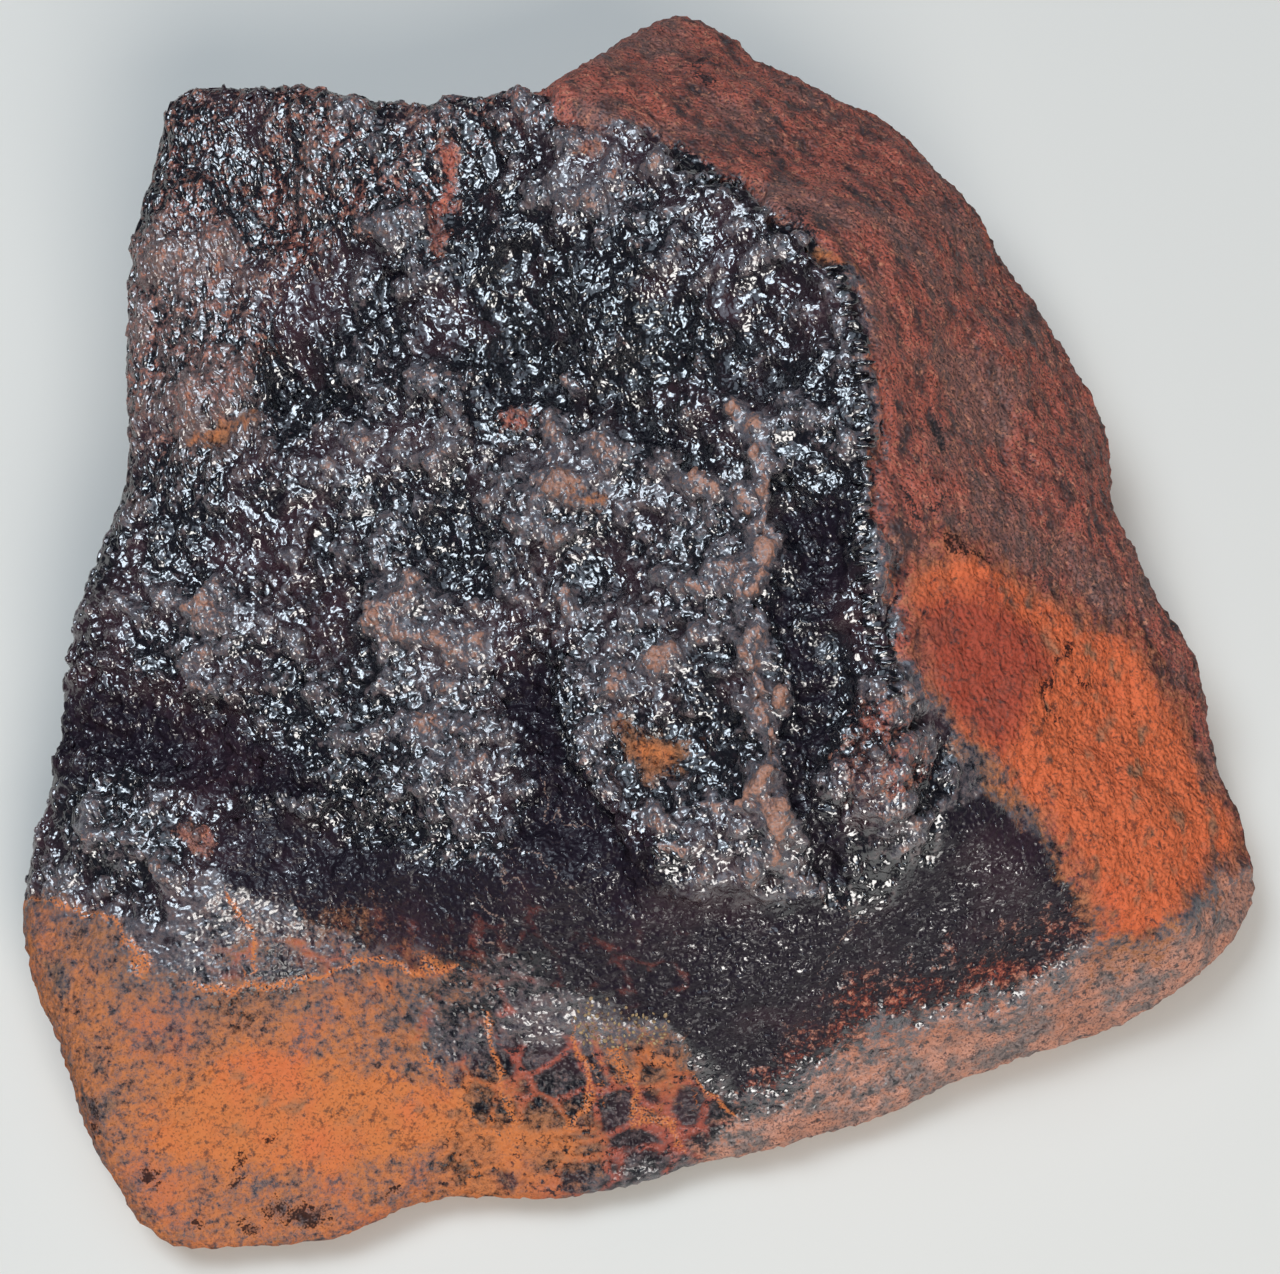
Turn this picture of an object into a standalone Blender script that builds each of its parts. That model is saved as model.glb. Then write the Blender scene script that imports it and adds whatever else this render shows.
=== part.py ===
"""A eucrite meteorite: one worn stone with a pitted, crusted face on top and a flat patch to rest on.

The stone is worked out in millimetres as a rounded solid between a side wall that follows its outline, the
faces of its top and the surface that it lies on. The thumb-shaped hollows, lumps and ridges of the crust
are then pressed into it or raised on it, and the finished mesh is set to its real size in metres.
"""

from dataclasses import dataclass

import bmesh
import bpy
import numpy as np

# Driving dimensions of the stone, in metres.
STONE_WIDTH = 0.0808
STONE_DEPTH = 0.0832
STONE_HEIGHT = 0.0298

# How the mesh is made.
BALL_SUBDIVISIONS = 6
BALL_HALF_AXES = np.array([40.0, 41.0, 15.0])
LARGEST_RADIUS = 75.0
HALVINGS = 34
TRIANGLES = 9400
FLOOR_TOLERANCE = 2e-5
NORMAL_PROBE = 0.25

# The point inside the stone that its surface is measured from, in millimetres.
MIDDLE = np.array([0.0, 0.0, 9.0])

# The side wall: how far it leans in above and below its widest line, how round it is there, and how the
# outline grows simpler below that line, where the stone turns under.
LEAN_ABOVE = 0.30
LEAN_BELOW = 0.85
WALL_ROUNDING = 1.2
OUTLINE_STEPS = 1440
CURVE_STEPS = 8
UNDERSIDE_SMOOTHING = 150
SLANT_SMOOTHING = 60
UNDERSIDE_DROP = 9.0

# How softly the faces meet, in millimetres.
FACE_BLEND = 0.6
FOOT_BLEND = 1.2
BODY_BLEND = 0.7
FLOOR_BLEND = 0.4

# The widest line of the stone, anticlockwise from its right-hand corner: x, y and height in millimetres.
OUTLINE = (
    (42.3, -14.0, 5.0),
    (38.9, -7.6, 6.0),
    (38.2, -2.0, 7.0),
    (34.8, 5.0, 7.0),
    (32.2, 10.5, 7.0),
    (32.0, 17.1, 7.0),
    (28.3, 23.6, 8.0),
    (24.4, 29.5, 9.0),
    (18.3, 36.6, 11.0),
    (11.7, 39.3, 13.0),
    (8.8, 40.9, 13.5),
    (6.3, 43.4, 13.5),
    (2.4, 44.9, 13.5),
    (-2.2, 41.0, 14.0),
    (-6.4, 36.3, 15.5),
    (-10.9, 35.5, 16.0),
    (-18.7, 36.1, 15.5),
    (-26.4, 38.1, 15.0),
    (-31.3, 38.4, 14.0),
    (-32.9, 35.4, 13.5),
    (-33.8, 30.0, 13.0),
    (-34.8, 22.0, 12.5),
    (-34.3, 14.3, 12.0),
    (-34.9, 9.5, 11.0),
    (-37.1, 3.5, 9.5),
    (-38.5, -2.6, 8.5),
    (-38.9, -8.7, 7.0),
    (-40.0, -13.9, 6.0),
    (-39.9, -18.7, 5.0),
    (-37.4, -26.1, 4.0),
    (-35.3, -30.5, 3.5),
    (-32.6, -36.0, 3.0),
    (-28.1, -39.0, 3.0),
    (-22.2, -38.8, 2.5),
    (-13.5, -35.5, 2.5),
    (-5.2, -35.6, 2.5),
    (5.2, -32.8, 2.5),
    (15.0, -30.0, 2.5),
    (23.8, -26.0, 2.5),
    (30.8, -24.0, 2.5),
    (36.1, -20.8, 3.0),
    (39.8, -17.1, 4.0),
)

# The faces of the top, each through three points that lie on it, in millimetres.
BODY_FACES = {
    "pitted": ((-28, 36, 19.5), (13.5, 13, 29.5), (-9, -16, 18.5)),
    "left lower": ((-24, 4, 20), (-25, -9, 17.5), (-37.5, -3, 11)),
    "flank upper": ((13.8, 16, 29), (14.5, -4, 27.8), (26, 8, 18)),
    "flank lower": ((25, 18, 17.5), (30, 2, 17.5), (36.5, 2, 9.5)),
    "flank back": ((3, 24.5, 29), (12, 19, 29), (14, 36, 18)),
    "knee": ((17, -13, 24), (39.5, -13, 9), (30, 0, 17.9)),
}
FRONT_FACES = {
    "front left": ((-9, -18, 18.5), (-20, -13, 17), (-13, -28, 7)),
    "front middle": ((9.1, -20, 19.5), (5, -31.5, 5.5), (-9, -19, 18.5)),
    "front right": ((16, -18.6, 20), (29.5, -21, 9.5), (14, -26.4, 8.5)),
}
FOOT_FACES = {
    "foot": ((-28, -38, 3.5), (-13, -35, 3.5), (-28, -15, 13.5)),
}

# The faces of the underside, which rise from the flat patch that the stone rests on.
UNDER_FACES = {
    "under front": ((-12, -22, 0), (14, -19, 0), (4, -33, 1.0)),
    "under right": ((24, -16, 0), (20, 10, 0), (38, -6, 2.2)),
    "under left": ((-27, -20, 0), (-24, 12, 0), (-39, -4, 2.8)),
    "under corner": ((-27, -24, 0), (-18, -27, 0), (-29, -37, 1.6)),
    "under back": ((-20, 20, 0), (14, 20, 0), (0, 34, 3.6)),
}


@dataclass(frozen=True)
class Dent:
    """A named oval hollow or lump of the top, in millimetres: a hollow has a positive depth."""

    name: str
    x: float
    y: float
    half_width: float
    half_length: float
    turn: float
    depth: float

    def depth_at(self, x, y):
        """Returns how deep the dent is over each point of the plan."""
        angle = np.radians(self.turn)
        across = (x - self.x) * np.cos(angle) + (y - self.y) * np.sin(angle)
        along = (y - self.y) * np.cos(angle) - (x - self.x) * np.sin(angle)
        reach = (across / self.half_width) ** 2 + (along / self.half_length) ** 2
        return self.depth * np.clip(1.0 - reach, 0.0, 1.0) ** DENT_SHOULDER


@dataclass(frozen=True)
class Ridge:
    """A named, raised line of the top through points of the plan, in millimetres."""

    name: str
    points: tuple
    half_width: float
    height: float

    def height_at(self, x, y):
        """Returns how high the ridge stands over each point of the plan."""
        nearest = np.full(x.shape, np.inf)
        for (x0, y0), (x1, y1) in zip(self.points, self.points[1:]):
            along = ((x - x0) * (x1 - x0) + (y - y0) * (y1 - y0)) / ((x1 - x0) ** 2 + (y1 - y0) ** 2)
            along = np.clip(along, 0.0, 1.0)
            gap = np.hypot(x - x0 - along * (x1 - x0), y - y0 - along * (y1 - y0))
            nearest = np.minimum(nearest, gap)
        return self.height * np.exp(-((nearest / self.half_width) ** 2))


# The thumb-shaped hollows, which meet each other in sharp ribs.
HOLLOWS = (
    Dent("left scoop", -7.4, 16.9, 3.4, 6.2, 10, 1.5),
    Dent("middle scoop", 0.6, 13.4, 3.2, 6.4, -8, 1.3),
    Dent("right scoop", 7.8, 14.5, 3.2, 6.0, -5, 1.2),
    Dent("west pit", -22.7, 15.6, 3.4, 4.6, 10, 1.4),
    Dent("west scoop", -19.6, 22.4, 3.0, 5.4, 8, 1.1),
    Dent("centre scoop", -11.2, 3.0, 3.2, 5.6, 5, 1.2),
    Dent("south west scoop", -19.4, -1.6, 2.8, 5.4, 15, 1.2),
    Dent("valley top", 10.8, -0.9, 3.0, 5.6, 0, 0.9),
    Dent("valley", 10.9, -10.8, 3.1, 8.6, -3, 1.6),
    Dent("nose wall upper", -6.6, -7.7, 2.6, 4.8, 12, 1.2),
    Dent("nose wall lower", -3.6, -16.2, 2.6, 5.4, 42, 1.5),
    Dent("ledge hollow", -31.0, -7.2, 7.6, 3.4, -8, 1.5),
    Dent("ledge pit", -26.2, -11.2, 2.6, 2.5, 0, 0.9),
    Dent("nose dish", 4.0, -11.6, 3.0, 4.2, 0, 0.8),
    Dent("low band", -19.5, -15.0, 9.0, 2.9, -5, 1.3),
    Dent("brow hollow", -25.2, 29.9, 3.8, 6.2, 20, 0.8),
    Dent("back dip", -11.1, 28.1, 5.0, 4.8, 0, 0.7),
    Dent("hill dip", -2.5, 0.8, 4.4, 3.2, 0, 0.7),
    Dent("south dip", -9.3, -9.2, 3.0, 4.8, 10, 0.8),
    Dent("flank dip", 22.0, 13.0, 4.0, 8.0, 18, 0.7),
    Dent("knee dip", 28.0, -6.0, 6.0, 5.0, 0, 0.5),
    Dent("foot dip", -26.0, -27.0, 7.0, 5.0, 0, 0.4),
    Dent("front dip", 6.0, -26.5, 6.0, 3.0, 8, 0.6),
)

# The lumps between them.
LUMPS = (
    Dent("north west lump", -30.8, 24.9, 4.6, 7.4, 5, -0.8),
    Dent("west lump", -28.6, 15.5, 4.8, 3.6, 5, -1.0),
    Dent("north lump", -13.4, 12.6, 3.9, 4.8, 0, -0.9),
    Dent("middle lump", -20.0, 9.0, 6.0, 2.9, 0, -0.9),
    Dent("south west lump", -27.4, 0.0, 4.9, 4.7, 0, -1.1),
    Dent("inner lump", -15.4, 0.0, 3.4, 3.2, 0, -0.8),
    Dent("south lump", -13.4, -11.3, 5.3, 3.8, 0, -1.0),
    Dent("nose back", 0.6, -7.5, 5.8, 3.4, 0, -0.7),
    Dent("nose front", 2.6, -17.2, 6.0, 2.8, -20, -1.1),
    Dent("gloss lump", 15.1, -14.0, 3.0, 5.8, 5, -1.2),
    Dent("corner lump", -33.5, -13.5, 5.4, 3.0, -10, -1.2),
    Dent("mound", -6.0, 7.1, 4.6, 3.9, 0, -0.6),
    Dent("brow", -15.8, 30.8, 7.0, 3.2, 0, -0.5),
    Dent("top lump", 0.0, 21.9, 4.6, 3.2, 0, -0.6),
    Dent("peak lump", 5.0, 38.0, 4.0, 5.0, 0, -0.6),
    Dent("knee lump", 33.0, -12.0, 4.0, 3.0, 0, -0.5),
)

# The ridges: the rib along the face, its branches, the lip of the crest and the edges of two ledges.
RIDGES = (
    Ridge(
        "long rib",
        (
            (5.9, 9.7),
            (7.3, 7.9),
            (7.7, 4.6),
            (7.4, 1.4),
            (7.9, -0.5),
            (7.4, -3.0),
            (7.6, -9.2),
            (7.9, -15.0),
            (9.1, -18.6),
        ),
        1.3,
        0.8,
    ),
    Ridge("upper branch", ((0.6, 6.3), (3.1, 5.2), (6.8, 3.9)), 0.8, 0.5),
    Ridge("lower branch", ((3.6, -14.7), (6.1, -14.9), (7.7, -13.9)), 0.9, 0.5),
    Ridge(
        "crest lip",
        (
            (0.0, 26.6),
            (3.8, 25.1),
            (7.6, 22.2),
            (10.1, 19.8),
            (12.5, 16.4),
            (13.7, 13.1),
            (13.7, 2.7),
            (13.9, -1.1),
            (14.9, -4.8),
            (15.8, -8.3),
        ),
        1.3,
        0.7,
    ),
    Ridge("ledge edge", ((-36.4, -1.9), (-31.7, -3.4), (-26.4, -5.2)), 0.8, 0.7),
    Ridge(
        "nose edge",
        ((-5.9, -4.5), (-5.0, -7.8), (-3.6, -11.7), (-2.3, -14.7), (0.0, -17.3), (2.0, -18.7), (7.3, -19.8)),
        0.9,
        0.7,
    ),
    Ridge("left rib", ((-3.7, 21.2), (-3.2, 16.0), (-2.5, 11.2)), 0.9, 0.5),
    Ridge("right rib", ((4.1, 19.4), (4.4, 14.1), (4.7, 10.2)), 0.9, 0.5),
    Ridge("band edge", ((14.6, -26.2), (23.0, -23.6), (29.5, -21.0), (36.0, -17.6), (40.0, -13.4)), 0.9, 0.4),
)

# The slow waves of the whole skin: direction and length of each wave, its height and its start.
WAVES = (
    ((0.9, 0.3, 0.5), 13.0, 0.16, 0.4),
    ((-0.4, 0.9, 0.2), 11.0, 0.15, 2.1),
    ((0.2, -0.5, 1.0), 9.0, 0.12, 4.0),
    ((0.8, -0.7, -0.4), 7.5, 0.10, 1.3),
    ((-0.6, -0.6, 0.7), 6.0, 0.08, 5.2),
)

# How sharply a hollow or lump of the top meets what lies round it: 1 is a sharp edge, 2 a soft one.
DENT_SHOULDER = 1.5

# Where the relief fades out: by the tilt of the surface for the top's relief, by height for the waves.
TOP_TILT = (0.05, 0.35)
WAVE_HEIGHTS = (0.3, 3.0)

# The crust's look.
CRUST_COLOUR = (0.045, 0.028, 0.024, 1.0)
CRUST_ROUGHNESS = 0.42


def clear_scene():
    """Removes whatever the open file holds."""
    for thing in list(bpy.data.objects):
        bpy.data.objects.remove(thing, do_unlink=True)


def soft_maximum(values, blend):
    """Returns the largest of the values on the last axis, rounded where two are nearly equal."""
    top = values.max(axis=-1, keepdims=True)
    return (top + blend * np.log(np.exp((values - top) / blend).sum(axis=-1, keepdims=True)))[..., 0]


def rounded_maximum(first, second, reach):
    """Returns the larger value, rounded only where the two are less than the reach apart."""
    near = np.clip(reach - np.abs(first - second), 0.0, reach)
    return np.maximum(first, second) + near * near / (4.0 * reach)


def fade(value, limits):
    """Returns 0 below the limits, 1 above them and a smooth step between."""
    step = np.clip((value - limits[0]) / (limits[1] - limits[0]), 0.0, 1.0)
    return step * step * (3.0 - 2.0 * step)


def plane_through(points):
    """Returns the upward normal of the plane through three points and its distance from the origin."""
    first, second, third = (np.array(point, dtype=float) for point in points)
    normal = np.cross(second - first, third - first)
    normal /= np.linalg.norm(normal) * np.sign(normal[2])
    return normal, normal @ first


class Form:
    """The solid without its relief, as a function that is negative inside the stone."""

    def __init__(self):
        self.body = self.planes(BODY_FACES)
        self.front = self.planes(FRONT_FACES)
        self.foot = self.planes(FOOT_FACES)
        normals, distances = self.planes(UNDER_FACES)
        self.under = (-normals, -distances)
        self.azimuth, self.radius, self.height = self.outline_table()
        self.low_radius = self.evened(self.radius, UNDERSIDE_SMOOTHING)
        turning = np.gradient(self.radius, self.azimuth) / self.radius
        self.slant = self.evened(1.0 / np.sqrt(1.0 + turning**2), SLANT_SMOOTHING)

    @staticmethod
    def planes(faces):
        """Returns the normals and distances of a group of faces."""
        found = [plane_through(points) for points in faces.values()]
        return np.array([normal for normal, _ in found]), np.array([distance for _, distance in found])

    @staticmethod
    def outline_table():
        """Returns the outline's radius and height by azimuth, read from a smooth closed curve."""
        points = np.array(OUTLINE)
        before = np.roll(points, 1, axis=0)
        after = np.roll(points, -1, axis=0)
        later = np.roll(points, -2, axis=0)
        curve = []
        for step in np.linspace(0.0, 1.0, CURVE_STEPS, endpoint=False):
            curve.append(
                0.5
                * (
                    2.0 * points
                    + (after - before) * step
                    + (2.0 * before - 5.0 * points + 4.0 * after - later) * step**2
                    + (3.0 * points - before - 3.0 * after + later) * step**3
                )
            )
        curve = np.concatenate(curve)
        angle = np.arctan2(curve[:, 1], curve[:, 0])
        order = np.argsort(angle)
        azimuth = np.linspace(-np.pi, np.pi, OUTLINE_STEPS + 1)
        reach = np.hypot(curve[:, 0], curve[:, 1])
        radius = np.interp(azimuth, angle[order], reach[order], period=2.0 * np.pi)
        height = np.interp(azimuth, angle[order], curve[order, 2], period=2.0 * np.pi)
        return azimuth, radius, height

    @staticmethod
    def evened(values, width):
        """Returns a closed run of values averaged twice over a width of steps."""
        ring = values[:-1]
        window = np.ones(width) / width
        for _ in range(2):
            ring = np.convolve(np.concatenate([ring[-width:], ring, ring[:width]]), window, "same")[width:-width]
        return np.append(ring, ring[0])

    def wall(self, points):
        """Returns how far each point is outside the side wall."""
        azimuth = np.arctan2(points[..., 1], points[..., 0])
        rise = points[..., 2] - np.interp(azimuth, self.azimuth, self.height)
        simpler = fade(-rise, (0.0, UNDERSIDE_DROP))
        radius = np.interp(azimuth, self.azimuth, self.radius)
        radius += (np.interp(azimuth, self.azimuth, self.low_radius) - radius) * simpler
        slant = np.interp(azimuth, self.azimuth, self.slant)
        lean = np.where(rise > 0.0, LEAN_ABOVE, LEAN_BELOW) * rise
        inset = np.sqrt(lean**2 + WALL_ROUNDING**2) - WALL_ROUNDING
        return (np.hypot(points[..., 0], points[..., 1]) - radius) * slant + inset

    @staticmethod
    def outside(points, planes, blend):
        """Returns how far each point is above a group of faces."""
        normals, distances = planes
        return soft_maximum(points @ normals.T - distances, blend)

    def value(self, points):
        """Returns how far each point is outside the stone, below zero inside it."""
        front = self.outside(points, self.front, FACE_BLEND)
        foot = self.outside(points, self.foot, FACE_BLEND)
        low = -soft_maximum(np.stack([-front, -foot], axis=-1), FOOT_BLEND)
        body = self.outside(points, self.body, FACE_BLEND)
        top = soft_maximum(np.stack([body, low], axis=-1), FACE_BLEND)
        under = self.outside(points, self.under, FACE_BLEND)
        around = soft_maximum(np.stack([top, self.wall(points), under], axis=-1), BODY_BLEND)
        return rounded_maximum(around, -points[..., 2], FLOOR_BLEND)

    def surface(self, directions):
        """Returns the surface point in each direction from the middle of the stone."""
        inside = np.zeros(len(directions))
        outside = np.full(len(directions), LARGEST_RADIUS)
        for _ in range(HALVINGS):
            half = 0.5 * (inside + outside)
            is_inside = self.value(MIDDLE + directions * half[:, None]) < 0.0
            inside = np.where(is_inside, half, inside)
            outside = np.where(is_inside, outside, half)
        return MIDDLE + directions * inside[:, None]

    def normals(self, points):
        """Returns the outward direction of the surface at each point."""
        offsets = np.eye(3) * NORMAL_PROBE
        slope = [self.value(points + offset) - self.value(points - offset) for offset in offsets]
        slope = np.stack(slope, axis=-1)
        return slope / np.linalg.norm(slope, axis=-1, keepdims=True)


def top_relief(x, y):
    """Returns how far the crust of the top stands out at each point of the plan."""
    relief = -np.max([dent.depth_at(x, y) for dent in HOLLOWS], axis=0)
    for lump in LUMPS:
        relief = relief - lump.depth_at(x, y)
    for ridge in RIDGES:
        relief = relief + ridge.height_at(x, y)
    return relief


def skin_waves(points):
    """Returns the slow unevenness that the whole stone has."""
    height = np.zeros(len(points))
    for direction, length, amount, start in WAVES:
        heading = np.array(direction) / np.linalg.norm(direction)
        height += amount * np.sin(points @ heading * (2.0 * np.pi / length) + start)
    return height


def stone_points(ball):
    """Moves the points of a unit ball onto the finished surface of the stone, in millimetres."""
    form = Form()
    directions = ball * BALL_HALF_AXES
    directions /= np.linalg.norm(directions, axis=1, keepdims=True)
    points = form.surface(directions)
    normals = form.normals(points)
    rise = top_relief(points[:, 0], points[:, 1]) * fade(normals[:, 2], TOP_TILT)
    rise += skin_waves(points) * fade(points[:, 2], WAVE_HEIGHTS)
    return points + normals * rise[:, None]


def fit_to_size(points):
    """Centres the points over the origin, stands them on z = 0 and scales them to the driving dimensions."""
    low = points.min(axis=0)
    high = points.max(axis=0)
    centre = np.array([(low[0] + high[0]) / 2.0, (low[1] + high[1]) / 2.0, low[2]])
    size = np.array([STONE_WIDTH, STONE_DEPTH, STONE_HEIGHT])
    return (points - centre) * size / (high - low)


def crust_material():
    """Returns the dark, slightly shiny fusion crust."""
    material = bpy.data.materials.new("fusion_crust")
    material.use_nodes = True
    shader = material.node_tree.nodes["Principled BSDF"]
    shader.inputs["Base Color"].default_value = CRUST_COLOUR
    shader.inputs["Roughness"].default_value = CRUST_ROUGHNESS
    shader.inputs["Metallic"].default_value = 0.0
    return material


def build_stone():
    """Builds the meteorite as one closed mesh."""
    ball = bmesh.new()
    bmesh.ops.create_icosphere(ball, subdivisions=BALL_SUBDIVISIONS, radius=1.0)
    mesh = bpy.data.meshes.new("meteorite")
    ball.to_mesh(mesh)
    ball.free()
    unit = np.empty(len(mesh.vertices) * 3)
    mesh.vertices.foreach_get("co", unit)
    unit = unit.reshape(-1, 3)
    points = fit_to_size(stone_points(unit / np.linalg.norm(unit, axis=1, keepdims=True)))
    mesh.vertices.foreach_set("co", points.ravel())
    mesh.update()

    stone = bpy.data.objects.new("meteorite", mesh)
    bpy.context.scene.collection.objects.link(stone)
    thinned = stone.modifiers.new("fewer facets", "DECIMATE")
    thinned.ratio = TRIANGLES / len(mesh.polygons)
    bpy.context.view_layer.update()
    evaluated = stone.evaluated_get(bpy.context.evaluated_depsgraph_get())
    finished = bpy.data.meshes.new_from_object(evaluated)
    stone.modifiers.remove(thinned)
    stone.data = finished
    bpy.data.meshes.remove(mesh)
    finished.name = "meteorite"
    for vertex in finished.vertices:
        if abs(vertex.co.z) < FLOOR_TOLERANCE:
            vertex.co.z = 0.0
    finished.materials.clear()
    finished.materials.append(crust_material())
    finished.shade_smooth()
    return stone


clear_scene()
build_stone()
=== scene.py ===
"""The looks of a eucrite meteorite: its crust, soil, grains and the studio around it.

The stone is worked out again from the same rounded solid and the same hollows, lumps and ridges as the
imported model, on a much finer mesh. Geometry Nodes then raise the small relief of the fusion crust, sow its
glassy beads and lay soil grains on it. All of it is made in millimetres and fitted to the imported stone.
"""

import logging
from dataclasses import dataclass, field
from enum import Enum

import bmesh
import bpy
import numpy as np
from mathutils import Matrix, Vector


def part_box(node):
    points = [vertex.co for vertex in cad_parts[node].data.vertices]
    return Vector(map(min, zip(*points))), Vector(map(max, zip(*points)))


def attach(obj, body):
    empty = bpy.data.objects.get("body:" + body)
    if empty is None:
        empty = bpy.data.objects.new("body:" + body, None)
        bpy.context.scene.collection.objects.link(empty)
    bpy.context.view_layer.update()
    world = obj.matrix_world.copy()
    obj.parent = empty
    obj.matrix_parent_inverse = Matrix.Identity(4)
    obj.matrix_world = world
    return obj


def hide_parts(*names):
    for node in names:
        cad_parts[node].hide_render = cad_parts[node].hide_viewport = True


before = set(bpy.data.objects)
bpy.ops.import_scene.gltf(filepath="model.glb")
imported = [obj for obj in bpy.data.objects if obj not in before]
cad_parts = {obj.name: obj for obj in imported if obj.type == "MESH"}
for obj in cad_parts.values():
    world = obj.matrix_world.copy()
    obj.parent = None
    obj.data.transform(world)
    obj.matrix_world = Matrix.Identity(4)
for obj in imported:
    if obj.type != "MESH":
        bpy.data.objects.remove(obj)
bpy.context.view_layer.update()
LOG = logging.getLogger("meteorite")

MILLIMETRES = 1000.0
Points = np.ndarray
Plan = tuple[tuple[float, float], ...]
Socket = bpy.types.NodeSocket
Inputs = dict[str, tuple[str, object]]
Colour = tuple[float, float, float, float]
Layer = tuple[Socket, object]


def fade(value: Points, limits: tuple[float, float]) -> Points:
    """Makes a smooth step.

    Args:
        value: The numbers to step.
        limits: Where the step starts and ends.

    Returns:
        0 below the limits, 1 above them and a smooth change between.
    """
    step = np.clip((value - limits[0]) / (limits[1] - limits[0]), 0.0, 1.0)
    return step * step * (3.0 - 2.0 * step)


def soft_maximum(values: Points, blend: float) -> Points:
    """Finds a rounded maximum.

    Args:
        values: Numbers to compare on the last axis.
        blend: How far apart two of them are when they stop rounding each other.

    Returns:
        The largest value on the last axis, rounded where two are nearly equal.
    """
    top = values.max(axis=-1, keepdims=True)
    return (top + blend * np.log(np.exp((values - top) / blend).sum(axis=-1, keepdims=True)))[..., 0]


def rounded_maximum(first: Points, second: Points, reach: float) -> Points:
    """Joins two surfaces.

    Args:
        first: Distances outside the first one.
        second: Distances outside the second one.
        reach: How near the two are where they blend.

    Returns:
        The larger distance, rounded only within the reach.
    """
    near = np.clip(reach - np.abs(first - second), 0.0, reach)
    return np.maximum(first, second) + near * near / (4.0 * reach)


def plane_through(points: tuple) -> tuple[Points, float]:
    """Puts a plane through three points.

    Args:
        points: The three points, in millimetres.

    Returns:
        The plane's upward normal and its distance from the origin.
    """
    first, second, third = (np.array(point, dtype=float) for point in points)
    normal = np.cross(second - first, third - first)
    normal /= np.linalg.norm(normal) * np.sign(normal[2])
    return normal, float(normal @ first)


@dataclass(frozen=True)
class Dent:
    """An oval hollow of the top, in millimetres; a lump has a negative depth."""

    x: float
    y: float
    half_width: float
    half_length: float
    turn: float
    depth: float

    def depth_at(self, x: Points, y: Points) -> Points:
        """Measures the dent.

        Args:
            x: Plan positions across the stone.
            y: Plan positions along the stone.

        Returns:
            The depth of the dent over each position.
        """
        angle = np.radians(self.turn)
        across = (x - self.x) * np.cos(angle) + (y - self.y) * np.sin(angle)
        along = (y - self.y) * np.cos(angle) - (x - self.x) * np.sin(angle)
        reach = (across / self.half_width) ** 2 + (along / self.half_length) ** 2
        return self.depth * np.clip(1.0 - reach, 0.0, 1.0) ** 1.5


@dataclass(frozen=True)
class Line:
    """A line over the plan of the stone, such as a ridge, a crack or a streak of dust, in millimetres."""

    points: Plan
    half_width: float
    strength: float = 1.0

    def gap(self, x: Points, y: Points) -> Points:
        """Measures the way to the line.

        Args:
            x: Plan positions across the stone.
            y: Plan positions along the stone.

        Returns:
            The distance of each position from the line.
        """
        nearest = np.full(x.shape, np.inf)
        for (x0, y0), (x1, y1) in zip(self.points, self.points[1:]):
            length = (x1 - x0) ** 2 + (y1 - y0) ** 2
            along = np.clip(((x - x0) * (x1 - x0) + (y - y0) * (y1 - y0)) / length, 0.0, 1.0)
            gap = np.hypot(x - x0 - along * (x1 - x0), y - y0 - along * (y1 - y0))
            nearest = np.minimum(nearest, gap)
        return nearest

    def at(self, x: Points, y: Points) -> Points:
        """Returns how strong the line is at each plan position."""
        return self.strength * np.exp(-((self.gap(x, y) / self.half_width) ** 2))


@dataclass(frozen=True)
class Sway:
    """A slow, uneven push of plan positions, so that what a few points outline gets a natural edge."""

    pushes: Plan = ((9.0, 0.18), (5.0, 0.15), (2.8, 0.12), (1.6, 0.09), (0.9, 0.06))
    waves: int = 3
    seed: int = 12

    def moved(self, x: Points, y: Points) -> tuple[Points, Points]:
        """Pushes plan positions about.

        Args:
            x: Plan positions across the stone.
            y: Plan positions along the stone.

        Returns:
            The pushed positions, across and along.
        """
        chance = np.random.default_rng(self.seed)
        pushed = [x, y]
        for length, push in self.pushes:
            for axis in (0, 1):
                for _ in range(self.waves):
                    turn, start = chance.uniform(0.0, 2.0 * np.pi, 2)
                    phase = (x * np.cos(turn) + y * np.sin(turn)) * (2.0 * np.pi / length) + start
                    pushed[axis] = pushed[axis] + push * np.sin(phase)
        return pushed[0], pushed[1]


@dataclass(frozen=True)
class Area:
    """A patch of the plan inside a closed outline, in millimetres, with a soft edge."""

    points: Plan
    softness: float
    strength: float = 1.0

    def at(self, x: Points, y: Points) -> Points:
        """Measures the patch.

        Args:
            x: Plan positions across the stone.
            y: Plan positions along the stone.

        Returns:
            How strong the patch is at each position.
        """
        closed = Line(self.points + self.points[:1], 1.0)
        inside = np.zeros(x.shape, dtype=bool)
        for (x0, y0), (x1, y1) in zip(closed.points, closed.points[1:]):
            if y0 == y1:
                continue
            spans = (y0 > y) != (y1 > y)
            inside ^= spans & (x < (x1 - x0) * (y - y0) / (y1 - y0) + x0)
        distance = np.where(inside, 1.0, -1.0) * closed.gap(x, y)
        return self.strength * fade(distance, (-self.softness, self.softness))


class Mask(Enum):
    """The point attributes that tell the materials and the relief what covers the stone where."""

    SOIL = "soil"
    RUST = "rust"
    DUST = "dust"
    DARK = "dark"
    BUMPY = "bumpy"
    WRINKLED = "wrinkled"
    CRACK = "crack"
    PALE_CRACK = "pale_crack"
    SPECK = "speck"
    RIM = "rim"
    RELIEF = "relief"
    CROWN = "crown"
    CRACK_REACH = "crack_reach"
    PALE_REACH = "pale_reach"
    BROAD = "broad"
    MIDDLE = "middle"
    STREAK = "streak"
    CRAZED = "crazed"
    GRAINS = "grains"
    HOLLOW = "hollow"
    RED = "red"
    NET = "net"
    # Painted shade that keeps the crust black and bare of film; its attribute is named black.
    BLACK = "black"


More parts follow.
